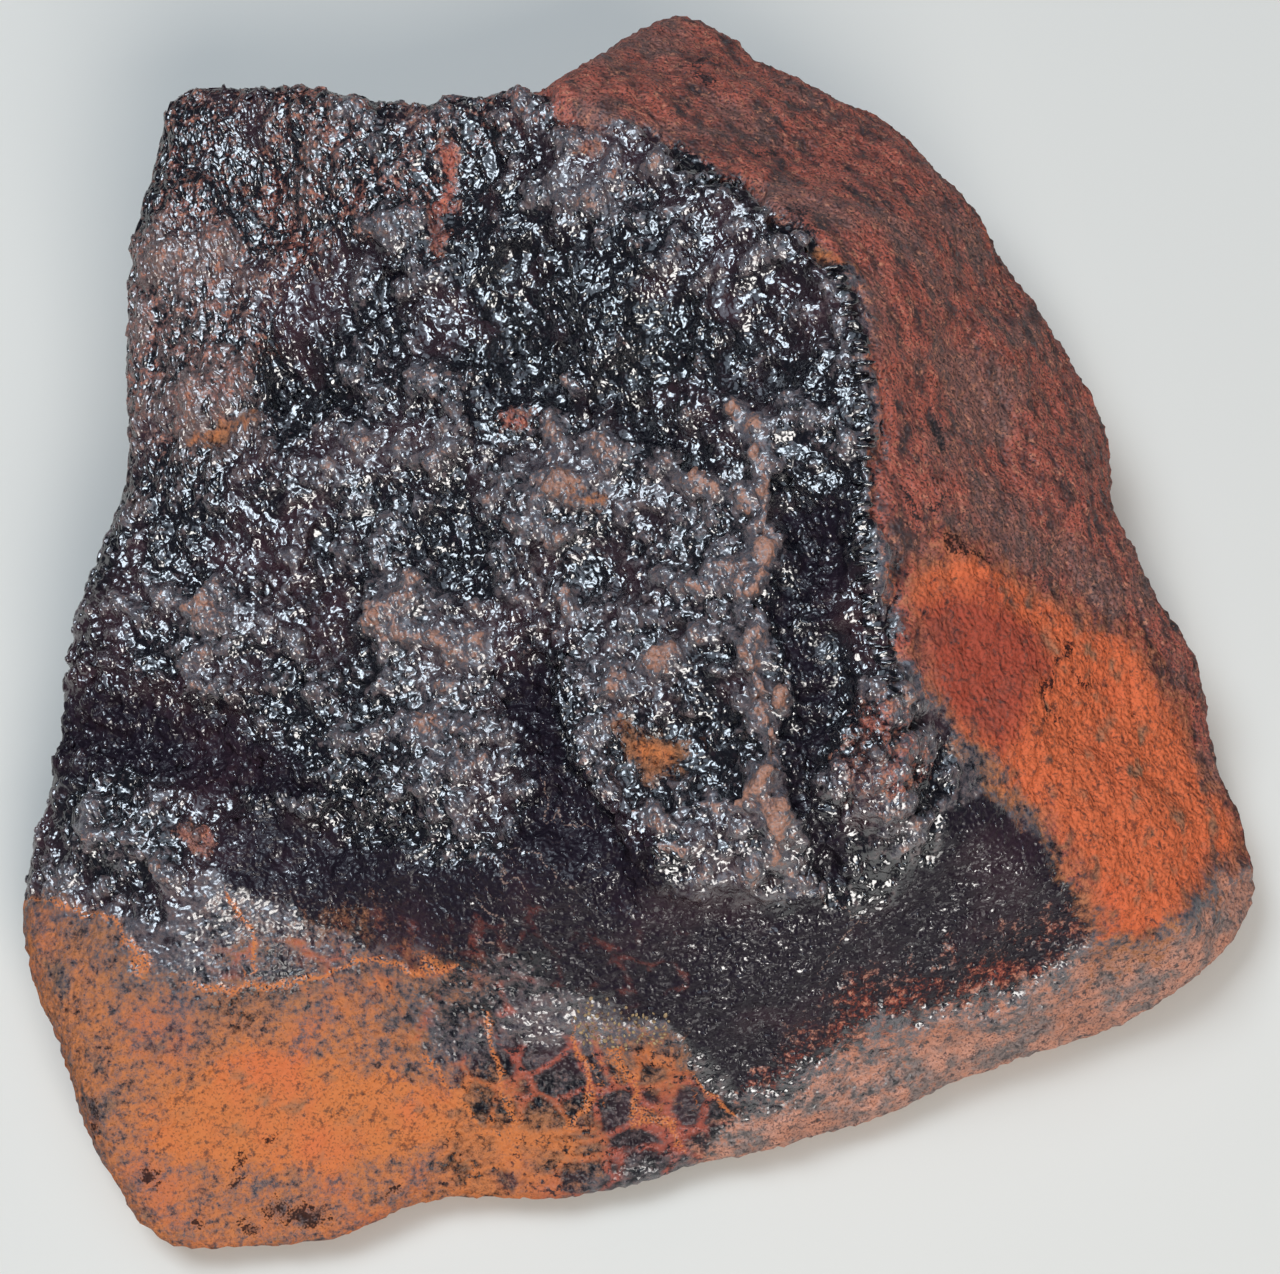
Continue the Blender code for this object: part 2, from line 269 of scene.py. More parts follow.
@dataclass(frozen=True)
class StoneForm:
    """The rounded solid of the stone without its relief, as a function that is negative inside."""

    middle: Points = field(default_factory=lambda: np.array([0.0, 0.0, 9.0]))
    # Places on the widest line of the stone, with its height above the floor, anticlockwise from the right.
    outline: tuple = (
        (42.3, -14.0, 5.0), (38.9, -7.6, 6.0), (38.2, -2.0, 7.0), (34.8, 5.0, 7.0), (32.2, 10.5, 7.0),
        (32.0, 17.1, 7.0), (28.3, 23.6, 8.0), (24.4, 29.5, 9.0), (18.3, 36.6, 11.0), (11.7, 39.3, 13.0),
        (8.8, 40.9, 13.5), (6.3, 43.4, 13.5), (2.4, 44.9, 13.5), (-2.2, 41.0, 14.0), (-6.4, 36.3, 15.5),
        (-10.9, 35.5, 16.0), (-18.7, 36.1, 15.5), (-26.4, 38.1, 15.0), (-31.3, 38.4, 14.0),
        (-32.9, 35.4, 13.5), (-33.8, 30.0, 13.0), (-34.8, 22.0, 12.5), (-34.3, 14.3, 12.0),
        (-34.9, 9.5, 11.0), (-37.1, 3.5, 9.5), (-38.5, -2.6, 8.5), (-38.9, -8.7, 7.0), (-40.0, -13.9, 6.0),
        (-39.9, -18.7, 5.0), (-37.4, -26.1, 4.0), (-35.3, -30.5, 3.5), (-32.6, -36.0, 3.0),
        (-28.1, -39.0, 3.0), (-22.2, -38.8, 2.5), (-13.5, -35.5, 2.5), (-5.2, -35.6, 2.5),
        (5.2, -32.8, 2.5), (15.0, -30.0, 2.5), (23.8, -26.0, 2.5), (30.8, -24.0, 2.5), (36.1, -20.8, 3.0),
        (39.8, -17.1, 4.0),
    )  # fmt: skip
    # Each face goes through three points.
    body_faces: tuple = (
        ((-28, 36, 19.5), (13.5, 13, 29.5), (-9, -16, 18.5)),
        ((-24, 4, 20), (-25, -9, 17.5), (-37.5, -3, 11)),
        ((13.8, 16, 29), (14.5, -4, 27.8), (26, 8, 18)),
        ((25, 18, 17.5), (30, 2, 17.5), (36.5, 2, 9.5)),
        ((3, 24.5, 29), (12, 19, 29), (14, 36, 18)),
        ((17, -13, 24), (39.5, -13, 9), (30, 0, 17.9)),
    )
    front_faces: tuple = (
        ((-9, -18, 18.5), (-20, -13, 17), (-13, -28, 7)),
        ((9.1, -20, 19.5), (5, -31.5, 5.5), (-9, -19, 18.5)),
        ((16, -18.6, 20), (29.5, -21, 9.5), (14, -26.4, 8.5)),
    )
    foot_faces: tuple = (((-28, -38, 3.5), (-13, -35, 3.5), (-28, -15, 13.5)),)
    under_faces: tuple = (
        ((-12, -22, 0), (14, -19, 0), (4, -33, 1.0)),
        ((24, -16, 0), (20, 10, 0), (38, -6, 2.2)),
        ((-27, -20, 0), (-24, 12, 0), (-39, -4, 2.8)),
        ((-27, -24, 0), (-18, -27, 0), (-29, -37, 1.6)),
        ((-20, 20, 0), (14, 20, 0), (0, 34, 3.6)),
    )
    lean_above: float = 0.30
    lean_below: float = 0.85
    wall_rounding: float = 1.2
    face_blend: float = 0.6
    foot_blend: float = 1.2
    body_blend: float = 0.7
    floor_blend: float = 0.4
    outline_steps: int = 1440
    curve_steps: int = 8
    underside_smoothing: int = 150
    slant_smoothing: int = 60
    underside_drop: float = 9.0
    largest_radius: float = 75.0
    halvings: int = 26
    probe: float = 0.25
    _tables: dict = field(default_factory=dict, repr=False)

    def prepare(self) -> None:
        """Works out the planes and the outline's tables once, before the surface is asked for."""
        for name in ("body_faces", "front_faces", "foot_faces", "under_faces"):
            found = [plane_through(points) for points in getattr(self, name)]
            normals = np.array([normal for normal, _ in found])
            distances = np.array([distance for _, distance in found])
            sign = -1.0 if name == "under_faces" else 1.0
            self._tables[name] = (sign * normals, sign * distances)
        points = np.array(self.outline)
        before, after, later = (np.roll(points, shift, axis=0) for shift in (1, -1, -2))
        curve = np.concatenate(
            [
                0.5
                * (
                    2.0 * points
                    + (after - before) * step
                    + (2.0 * before - 5.0 * points + 4.0 * after - later) * step**2
                    + (3.0 * points - before - 3.0 * after + later) * step**3
                )
                for step in np.linspace(0.0, 1.0, self.curve_steps, endpoint=False)
            ]
        )
        angle = np.arctan2(curve[:, 1], curve[:, 0])
        order = np.argsort(angle)
        azimuth = np.linspace(-np.pi, np.pi, self.outline_steps + 1)
        reach = np.hypot(curve[:, 0], curve[:, 1])
        radius = np.interp(azimuth, angle[order], reach[order], period=2.0 * np.pi)
        self._tables["azimuth"] = azimuth
        self._tables["radius"] = radius
        self._tables["height"] = np.interp(azimuth, angle[order], curve[order, 2], period=2.0 * np.pi)
        self._tables["low radius"] = self.evened(radius, self.underside_smoothing)
        turning = np.gradient(radius, azimuth) / radius
        self._tables["slant"] = self.evened(1.0 / np.sqrt(1.0 + turning**2), self.slant_smoothing)

    @staticmethod
    def evened(values: Points, width: int) -> Points:
        """Evens out a closed run of values.

        Args:
            values: The run, with its first value again at its end.
            width: The number of steps to average over, twice.

        Returns:
            The averaged run.
        """
        ring = values[:-1]
        window = np.ones(width) / width
        for _ in range(2):
            longer = np.concatenate([ring[-width:], ring, ring[:width]])
            ring = np.convolve(longer, window, "same")[width:-width]
        return np.append(ring, ring[0])

    def by_azimuth(self, name: str, azimuth: Points) -> Points:
        """Returns one of the outline's tables at each azimuth."""
        return np.interp(azimuth, self._tables["azimuth"], self._tables[name])

    def wall(self, points: Points) -> Points:
        """Measures the side wall.

        Args:
            points: Points in millimetres, one a row.

        Returns:
            How far each point is outside the wall.
        """
        azimuth = np.arctan2(points[..., 1], points[..., 0])
        rise = points[..., 2] - self.by_azimuth("height", azimuth)
        radius = self.by_azimuth("radius", azimuth)
        simpler = fade(-rise, (0.0, self.underside_drop))
        radius += (self.by_azimuth("low radius", azimuth) - radius) * simpler
        lean = np.where(rise > 0.0, self.lean_above, self.lean_below) * rise
        inset = np.sqrt(lean**2 + self.wall_rounding**2) - self.wall_rounding
        gap = np.hypot(points[..., 0], points[..., 1]) - radius
        return gap * self.by_azimuth("slant", azimuth) + inset

    def outside(self, points: Points, faces: str) -> Points:
        """Returns how far each point is above a group of faces."""
        normals, distances = self._tables[faces]
        return soft_maximum(points @ normals.T - distances, self.face_blend)

    def value(self, points: Points) -> Points:
        """Measures the whole form.

        Args:
            points: Points in millimetres, one a row.

        Returns:
            How far each point is outside the stone, below zero inside it.
        """
        front = self.outside(points, "front_faces")
        foot = self.outside(points, "foot_faces")
        low = -soft_maximum(np.stack([-front, -foot], axis=-1), self.foot_blend)
        body = self.outside(points, "body_faces")
        top = soft_maximum(np.stack([body, low], axis=-1), self.face_blend)
        under = self.outside(points, "under_faces")
        around = soft_maximum(np.stack([top, self.wall(points), under], axis=-1), self.body_blend)
        return rounded_maximum(around, -points[..., 2], self.floor_blend)

    def surface(self, directions: Points) -> Points:
        """Finds the surface.

        Args:
            directions: Directions from the middle of the stone, one a row.

        Returns:
            The surface point in each direction.
        """
        inside = np.zeros(len(directions))
        outside = np.full(len(directions), self.largest_radius)
        for _ in range(self.halvings):
            half = 0.5 * (inside + outside)
            is_inside = self.value(self.middle + directions * half[:, None]) < 0.0
            inside = np.where(is_inside, half, inside)
            outside = np.where(is_inside, outside, half)
        return self.middle + directions * inside[:, None]

    def normals(self, points: Points) -> Points:
        """Finds the way out of the surface.

        Args:
            points: Points in millimetres, one a row.

        Returns:
            The outward direction of the surface at each point.
        """
        steps = np.eye(3) * self.probe
        slopes = [self.value(points + step) - self.value(points - step) for step in steps]
        slope = np.stack(slopes, axis=-1)
        return slope / np.linalg.norm(slope, axis=-1, keepdims=True)


@dataclass(frozen=True)
class ThumbRelief:
    """The thumb-shaped hollows, the lumps between them and the ridges of the top."""

    hollows: tuple = (
        Dent(-7.4, 16.9, 3.4, 6.2, 10, 1.5),
        Dent(0.6, 13.4, 3.2, 6.4, -8, 1.3),
        Dent(7.8, 14.5, 3.2, 6.0, -5, 1.2),
        Dent(-22.7, 15.6, 3.4, 4.6, 10, 1.4),
        Dent(-19.6, 22.4, 3.0, 5.4, 8, 1.1),
        Dent(-11.2, 3.0, 3.2, 5.6, 5, 1.2),
        Dent(-19.4, -1.6, 2.8, 5.4, 15, 1.2),
        Dent(10.8, -0.9, 3.0, 5.6, 0, 0.9),
        Dent(10.9, -10.8, 3.1, 8.6, -3, 1.6),
        Dent(-6.6, -7.7, 2.6, 4.8, 12, 1.2),
        Dent(-3.6, -16.2, 2.6, 5.4, 42, 1.5),
        Dent(-31.0, -7.2, 7.6, 3.4, -8, 1.5),
        Dent(-26.2, -11.2, 2.6, 2.5, 0, 0.9),
        Dent(4.0, -11.6, 3.0, 4.2, 0, 0.8),
        Dent(-19.5, -15.0, 9.0, 2.9, -5, 1.3),
        Dent(-25.2, 29.9, 3.8, 6.2, 20, 0.8),
        Dent(-11.1, 28.1, 5.0, 4.8, 0, 0.7),
        Dent(-2.5, 0.8, 4.4, 3.2, 0, 0.7),
        Dent(-9.3, -9.2, 3.0, 4.8, 10, 0.8),
        Dent(22.0, 13.0, 4.0, 8.0, 18, 0.7),
        Dent(28.0, -6.0, 6.0, 5.0, 0, 0.5),
        Dent(-26.0, -27.0, 7.0, 5.0, 0, 0.4),
        Dent(6.0, -26.5, 6.0, 3.0, 8, 0.6),
    )
    lumps: tuple = (
        Dent(-30.8, 24.9, 4.6, 7.4, 5, -0.8),
        Dent(-28.6, 15.5, 4.8, 3.6, 5, -1.0),
        Dent(-13.4, 12.6, 3.9, 4.8, 0, -0.9),
        Dent(-20.0, 9.0, 6.0, 2.9, 0, -0.9),
        Dent(-27.4, 0.0, 4.9, 4.7, 0, -1.1),
        Dent(-15.4, 0.0, 3.4, 3.2, 0, -0.8),
        Dent(-13.4, -11.3, 5.3, 3.8, 0, -1.0),
        Dent(0.6, -7.5, 5.8, 3.4, 0, -0.7),
        Dent(2.6, -17.2, 6.0, 2.8, -20, -1.1),
        Dent(15.1, -14.0, 3.0, 5.8, 5, -1.2),
        Dent(-33.5, -13.5, 5.4, 3.0, -10, -1.2),
        Dent(-6.0, 7.1, 4.6, 3.9, 0, -0.6),
        Dent(-15.8, 30.8, 7.0, 3.2, 0, -0.5),
        Dent(0.0, 21.9, 4.6, 3.2, 0, -0.6),
        Dent(5.0, 38.0, 4.0, 5.0, 0, -0.6),
        Dent(33.0, -12.0, 4.0, 3.0, 0, -0.5),
    )
    ridges: tuple[Line, ...] = (
        Line((
            (5.9, 9.7), (7.3, 7.9), (7.7, 4.6), (7.4, 1.4), (7.9, -0.5), (7.4, -3.0), (7.6, -9.2),
            (7.9, -15.0), (9.1, -18.6),
        ), 1.3, 0.8),
        Line(((0.6, 6.3), (3.1, 5.2), (6.8, 3.9)), 0.8, 0.5),
        Line(((3.6, -14.7), (6.1, -14.9), (7.7, -13.9)), 0.9, 0.5),
        Line((
            (0.0, 26.6), (3.8, 25.1), (7.6, 22.2), (10.1, 19.8), (12.5, 16.4), (13.7, 13.1), (13.7, 2.7),
            (13.9, -1.1), (14.9, -4.8), (15.8, -8.3),
        ), 1.3, 0.7),
        Line(((-36.4, -1.9), (-31.7, -3.4), (-26.4, -5.2)), 0.8, 0.7),
        Line((
            (-5.9, -4.5), (-5.0, -7.8), (-3.6, -11.7), (-2.3, -14.7), (0.0, -17.3), (2.0, -18.7),
            (7.3, -19.8),
        ), 0.9, 0.7),
        Line(((-3.7, 21.2), (-3.2, 16.0), (-2.5, 11.2)), 0.9, 0.5),
        Line(((4.1, 19.4), (4.4, 14.1), (4.7, 10.2)), 0.9, 0.5),
        Line(((14.6, -26.2), (23.0, -23.6), (29.5, -21.0), (36.0, -17.6), (40.0, -13.4)), 0.9, 0.4),
    )  # fmt: skip
    creases: tuple[Line, ...] = (
        Line(((-16.0, 20.8), (-16.2, 18.6), (-16.1, 16.5)), 0.5, -0.6),
        Line(((-24.3, 21.2), (-24.5, 19.6), (-24.8, 16.6), (-24.0, 14.4)), 0.6, -0.8),
        Line(((-24.5, 15.4), (-20.4, 14.5), (-17.5, 13.5), (-13.4, 11.7)), 0.6, -0.8),
        Line(((-10.9, 19.5), (-8.4, 16.7), (-6.4, 14.8), (-5.2, 12.1)), 0.8, -0.9),
        Line(((-12.4, 7.7), (-13.7, 5.2), (-12.3, 2.6)), 0.5, -0.6),
        Line(((-11.7, 8.0), (-8.2, 8.3), (-5.8, 7.6)), 0.5, -0.5),
        Line(((-28.8, 6.9), (-24.8, 4.7), (-24.3, 1.7)), 0.6, -0.6),
        Line(((-20.9, 4.9), (-21.1, 1.5), (-19.8, -2.5)), 0.6, -0.7),
        Line(((-10.4, 20.7), (-8.4, 21.7), (-6.7, 22.7), (-4.5, 20.6)), 0.6, -0.7),
        Line(((0.0, 10.9), (1.6, 8.7), (3.1, 6.6)), 0.7, -0.7),
        Line(((6.6, 15.0), (7.5, 13.0), (8.1, 10.1)), 0.6, -0.5),
        Line(((-0.5, 24.9), (3.2, 25.9), (6.9, 25.0), (9.4, 21.0)), 0.7, -0.7),
        Line((
            (11.0, 20.2), (13.2, 16.3), (14.3, 13.0), (14.6, 8.9), (14.7, 3.4), (15.0, -1.2), (15.6, -4.7),
            (16.5, -9.0),
        ), 0.5, -0.6),
        Line((
            (9.2, 4.9), (9.4, 0.7), (9.1, -3.3), (8.9, -8.2), (9.5, -13.1), (10.4, -17.0), (10.9, -19.2),
        ), 0.7, -1.0),
        Line((
            (-6.3, 2.2), (-6.0, -1.2), (-5.9, -5.4), (-5.8, -8.4), (-4.4, -11.9), (-2.8, -14.5),
            (-1.3, -17.1),
        ), 0.6, -0.9),
        Line(((-37.4, -0.8), (-33.6, -2.9), (-29.6, -4.9), (-26.3, -6.1)), 0.5, -0.4),
        Line(((0.0, -2.0), (3.1, -5.1), (6.1, -6.2)), 0.6, -0.5),
        Line(((-18.4, -5.5), (-16.3, -8.8), (-18.2, -12.2)), 0.6, -0.6),
    )  # fmt: skip
    sway: Sway = field(default_factory=Sway)
    # Slow waves of the whole surface: the heading of each, its length, its height and its start.
    waves: tuple = (
        ((0.9, 0.3, 0.5), 13.0, 0.16, 0.4),
        ((-0.4, 0.9, 0.2), 11.0, 0.15, 2.1),
        ((0.2, -0.5, 1.0), 9.0, 0.12, 4.0),
        ((0.8, -0.7, -0.4), 7.5, 0.10, 1.3),
        ((-0.6, -0.6, 0.7), 6.0, 0.08, 5.2),
    )
    top_tilt: tuple[float, float] = (0.05, 0.35)
    wave_heights: tuple[float, float] = (0.3, 3.0)

    def height(self, points: Points, normals: Points) -> Points:
        """Measures the relief of the top.

        Args:
            points: Points on the plain form.
            normals: The outward direction at each of them.

        Returns:
            How far the hollows, lumps and ridges raise each point.
        """
        x, y = self.sway.moved(points[:, 0], points[:, 1])
        relief = -np.max([dent.depth_at(x, y) for dent in self.hollows], axis=0)
        for lump in self.lumps:
            relief -= lump.depth_at(x, y)
        for ridge in (*self.ridges, *self.creases):
            relief += ridge.at(x, y)
        relief *= fade(normals[:, 2], self.top_tilt)
        return relief

    def raise_points(self, points: Points, normals: Points) -> tuple[Points, Points]:
        """Moves the points of the plain form onto the stone's relief.

        Args:
            points: Points on the plain form.
            normals: The outward direction at each of them.

        Returns:
            The moved points, and how far the hollows, lumps and ridges took each of them.
        """
        relief = self.height(points, normals)
        slow = np.zeros(len(points))
        for direction, length, amount, start in self.waves:
            heading = np.array(direction) / np.linalg.norm(direction)
            slow += amount * np.sin(points @ heading * (2.0 * np.pi / length) + start)
        slow *= fade(points[:, 2], self.wave_heights)
        return points + normals * (relief + slow)[:, None], relief


# What lies where: closed outlines, each with the softness of its edge and its strength.
AREAS: dict[Mask, tuple[Area, ...]] = {
    Mask.SOIL: (
        Area((
            (-41.5, -15.6), (-36.6, -17.7), (-34.0, -19.6), (-31.7, -22.0), (-28.2, -23.4), (-24.6, -23.4),
            (-22.1, -22.8), (-18.1, -22.2), (-13.0, -22.6), (-14.5, -24.8), (-13.6, -26.6), (-11.0, -28.2),
            (-7.6, -29.6), (-3.2, -30.9), (-3.0, -33.1), (-8.9, -37.5), (-14.0, -38.7), (-19.7, -42.0),
            (-29.0, -43.0), (-38.0, -37.5), (-44.0, -28.0), (-44.0, -21.3),
        ), 3.4, 0.60),
        Area((
            (-29.8, -28.5), (-26.0, -26.1), (-19.7, -27.2), (-12.7, -28.7), (-10.2, -30.7), (-12.7, -32.9),
            (-19.7, -34.3), (-26.6, -34.9), (-31.1, -33.2), (-32.9, -30.4),
        ), 2.4, 1.08),
        Area((
            (-27.8, -16.8), (-19.6, -17.0), (-11.2, -20.3), (-7.5, -22.5), (-8.8, -26.5), (-14.0, -26.7),
            (-19.6, -23.8), (-26.0, -24.4), (-29.1, -21.5),
        ), 3.4, 0.24),
        Area((
            (16.2, -1.6), (19.9, 1.0), (24.8, 0.5), (28.6, -0.1), (31.9, -0.4), (35.2, -3.5), (36.8, -8.0),
            (39.0, -12.0), (37.0, -15.6), (32.4, -19.6), (29.3, -21.3), (27.9, -18.1), (25.9, -14.3),
            (22.2, -12.7), (19.6, -10.7), (18.1, -5.7),
        ), 3.0, 1.05),
        Area((
            (-1.9, -8.9), (-0.4, -10.4), (1.2, -10.9), (2.6, -11.4), (1.9, -12.8), (0.3, -12.7),
        ), 1.5, 0.85),
        Area((
            (-2.5, -26.8), (0.0, -26.2), (3.1, -27.2), (4.1, -28.9), (1.3, -30.0), (-1.3, -28.9),
        ), 1.5, 0.45),
    ),
    Mask.RUST: (
        Area((
            (-7.8, 33.4), (-9.0, 40.0), (3.7, 53.0), (25.0, 46.0), (40.0, 25.0), (46.0, 5.0), (50.0, -12.0),
            (40.5, -13.6), (36.8, -16.6), (29.2, -21.4), (27.6, -18.5), (24.9, -13.9), (19.0, -10.7),
            (16.1, -6.3), (14.8, -1.2), (14.4, 3.8), (14.4, 10.1), (14.0, 15.0), (12.4, 18.6), (10.3, 21.3),
            (8.2, 23.2), (4.8, 27.6), (3.2, 28.3), (0.0, 30.2), (-2.6, 29.8), (-5.2, 31.5),
        ), 1.1, 1.0),
        Area((
            (13.0, -23.5), (20.0, -21.5), (27.0, -18.5), (30.0, -20.5), (24.0, -24.5), (16.0, -27.0),
            (8.0, -30.0), (5.0, -29.5),
        ), 2.2, 0.42),
        Area((
            (12.8, -8.7), (15.7, -9.7), (17.7, -11.4), (17.3, -14.7), (14.4, -16.7), (12.3, -15.5),
        ), 1.2, 0.50),
        Area((
            (-37.0, 44.0), (-29.9, 44.0), (-17.5, 44.0), (-7.2, 36.0), (-4.5, 30.1), (-9.1, 29.7),
            (-12.1, 28.4), (-13.5, 24.0), (-19.8, 24.3), (-22.3, 21.0), (-24.0, 16.2), (-25.1, 12.4),
            (-29.9, 10.5), (-36.0, 12.3), (-38.0, 20.0),
        ), 2.0, 0.30),
    ),
    Mask.RED: (
        Area((
            (17.2, -2.2), (21.2, -1.0), (24.7, -1.2), (26.0, -3.8), (24.3, -8.5), (22.3, -11.5), (19.6, -9.7),
            (17.4, -6.5),
        ), 2.2, 1.0),
    ),
    Mask.DUST: (
        Area((
            (-10.2, 9.6), (-5.1, 12.4), (0.6, 8.6), (6.2, 6.2), (7.6, -0.7), (6.1, -5.6), (0.6, -8.0),
            (-3.1, -7.6), (-6.2, -3.9), (-7.5, 1.4), (-10.8, 6.1),
        ), 2.0, 0.42),
        Area((
            (-19.9, 1.3), (-14.0, 2.3), (-7.5, -1.1), (-6.2, -6.2), (-5.4, -10.4), (-6.6, -13.7),
            (-10.6, -12.0), (-15.1, -7.9), (-19.0, -6.2), (-19.8, -2.5),
        ), 2.0, 0.45),
        Area((
            (-32.7, 27.0), (-25.9, 26.0), (-23.6, 19.2), (-24.4, 12.3), (-31.6, 12.0), (-33.7, 18.8),
        ), 2.5, 0.20),
        Area((
            (-5.0, -23.8), (-1.2, -23.5), (2.5, -24.9), (3.8, -26.7), (0.0, -27.7), (-3.8, -27.0),
        ), 1.6, 0.5),
        Area((
            (-23.4, -23.8), (-15.1, -23.2), (-10.7, -24.8), (-10.1, -27.5), (-16.5, -27.1), (-22.2, -26.1),
        ), 1.2, 0.25),
        Area((
            (7.4, -11.5), (8.6, -12.0), (9.9, -16.5), (10.4, -18.8), (8.4, -17.6), (6.0, -14.9),
        ), 1.0, 0.75),
    ),
    # Kept dark and matt: the front band, and the nose wall, the valley beside the rib and the west ledge,
    # where the darkness is painted shade.
    Mask.DARK: (
        Area((
            (-28.0, -13.6), (-21.5, -12.9), (-15.0, -16.2), (-8.6, -17.2), (-6.4, -13.4), (-4.6, -13.4),
            (-2.5, -15.9), (1.8, -19.7), (6.7, -20.6), (12.9, -20.3), (18.0, -18.2), (21.2, -13.9),
            (25.5, -15.3), (28.2, -18.5), (28.6, -21.3), (22.8, -22.9), (16.4, -25.1), (12.0, -27.1),
            (6.3, -28.8), (2.5, -26.7), (-2.5, -24.6), (-8.7, -22.5), (-12.5, -22.2), (-19.6, -19.3),
            (-25.6, -17.4),
        ), 1.8, 1.0),
        Area((
            (-36.9, -3.0), (-31.6, -4.4), (-25.9, -6.0), (-21.5, -9.8), (-19.5, -12.5), (-25.5, -11.6),
            (-30.1, -10.6), (-37.7, -9.0), (-42.0, -4.0),
        ), 1.0, 0.8),
        Area((
            (-5.9, -4.7), (-4.9, -10.4), (-2.4, -14.5), (1.5, -19.0), (3.7, -20.2), (-2.5, -18.8),
            (-6.2, -15.0), (-8.7, -11.0), (-7.5, -6.6),
        ), 0.8, 0.9),
        Area((
            (8.9, 3.1), (13.2, 3.2), (13.3, -1.3), (11.6, -5.6), (12.2, -9.4), (11.5, -15.4), (13.4, -19.2),
            (9.9, -18.9), (8.6, -13.1), (8.4, -5.8), (8.6, -0.7),
        ), 0.8, 0.6),
    ),
    # Painted shade: the dark scoop and hollows, the valley beside the rib, the nose wall, a crease and the
    # shaded north-west corner and west ledge, where the crust is kept black and bare of film.
    Mask.BLACK: (
        Area((
            (-13.6, 19.6), (-11.0, 23.3), (-5.2, 23.4), (0.0, 21.2), (3.8, 16.8), (6.0, 12.9), (5.3, 8.0),
            (0.6, 8.2), (-3.2, 11.3), (-7.7, 12.9), (-12.5, 13.0),
        ), 3.0, 0.85),
        Area((
            (8.3, 4.9), (12.9, 3.2), (13.5, -1.3), (13.6, -6.0), (12.9, -9.6), (11.8, -13.1), (10.6, -13.5),
            (9.4, -9.0), (8.6, -3.3), (8.8, 0.7),
        ), 1.4, 0.85),
        Area((
            (-8.5, -2.2), (-5.6, -4.0), (-4.0, -10.7), (0.0, -16.8), (3.6, -19.1), (-2.5, -18.8),
            (-6.2, -13.7), (-7.5, -7.3),
        ), 1.0, 1.0),
        Area((
            (-36.5, 44.0), (-26.9, 37.0), (-24.7, 31.4), (-26.0, 26.7), (-29.3, 28.8), (-34.5, 27.8),
        ), 2.5, 0.8),
        Area((
            (-24.7, 26.5), (-21.7, 23.8), (-20.3, 18.7), (-22.3, 14.7), (-24.8, 14.6), (-24.9, 21.2),
        ), 1.6, 0.9),
        Area((
            (-42.0, 3.4), (-28.3, -5.1), (-21.5, -9.8), (-24.1, -12.0), (-31.6, -9.0), (-39.0, -6.2),
        ), 2.0, 0.9),
    ),
    Mask.BUMPY: (
        Area((
            (-40.0, 44.0), (-10.0, 44.0), (-5.5, 31.8), (0.0, 30.0), (5.0, 27.5), (10.3, 21.5), (13.9, 15.0),
            (14.1, -1.2), (16.0, -7.0), (19.0, -12.0), (17.8, -18.0), (13.0, -20.3), (6.7, -20.4),
            (1.8, -19.6), (-2.5, -16.0), (-5.0, -14.0), (-8.6, -16.8), (-15.0, -16.6), (-21.5, -13.4),
            (-27.0, -15.0), (-31.0, -19.0), (-43.0, -15.8), (-43.0, 20.0),
        ), 0.8, 1.0),
    ),
    Mask.WRINKLED: (
        Area((
            (-38.0, 40.0), (-22.0, 42.0), (-19.0, 27.0), (-23.0, 18.0), (-24.0, 9.0), (-40.0, 8.0),
        ), 2.5, 1.0),
    ),
    Mask.CRAZED: (
        Area((
            (-12.7, -27.8), (-8.8, -26.7), (-4.4, -26.5), (0.0, -27.7), (3.8, -28.9), (6.7, -30.0),
            (3.8, -32.1), (-1.3, -33.4), (-6.4, -36.5), (-10.9, -36.0), (-13.4, -31.2),
        ), 1.6, 1.0),
        Area((
            (-28.0, -20.0), (-19.6, -19.0), (-10.5, -19.5), (-3.0, -20.5), (3.0, -21.5), (3.0, -25.5),
            (-4.0, -25.0), (-13.0, -27.0), (-22.0, -25.0), (-27.0, -25.0),
        ), 1.6, 0.42),
    ),
    Mask.GRAINS: (
        Area((
            (-3.8, -24.5), (-1.2, -24.4), (1.6, -25.8), (2.2, -27.7), (0.0, -28.2), (-2.5, -27.0),
            (-4.1, -26.0),
        ), 1.0, 1.0),
    ),
    Mask.RIM: (
        Area((
            (3.8, -32.1), (12.1, -28.2), (16.6, -26.0), (22.9, -23.7), (29.3, -21.6), (35.2, -18.5),
            (41.0, -12.7), (48.0, -15.5), (38.0, -27.0), (23.0, -34.0), (8.0, -38.0),
        ), 2.2, 1.0),
    ),
}  # fmt: skip

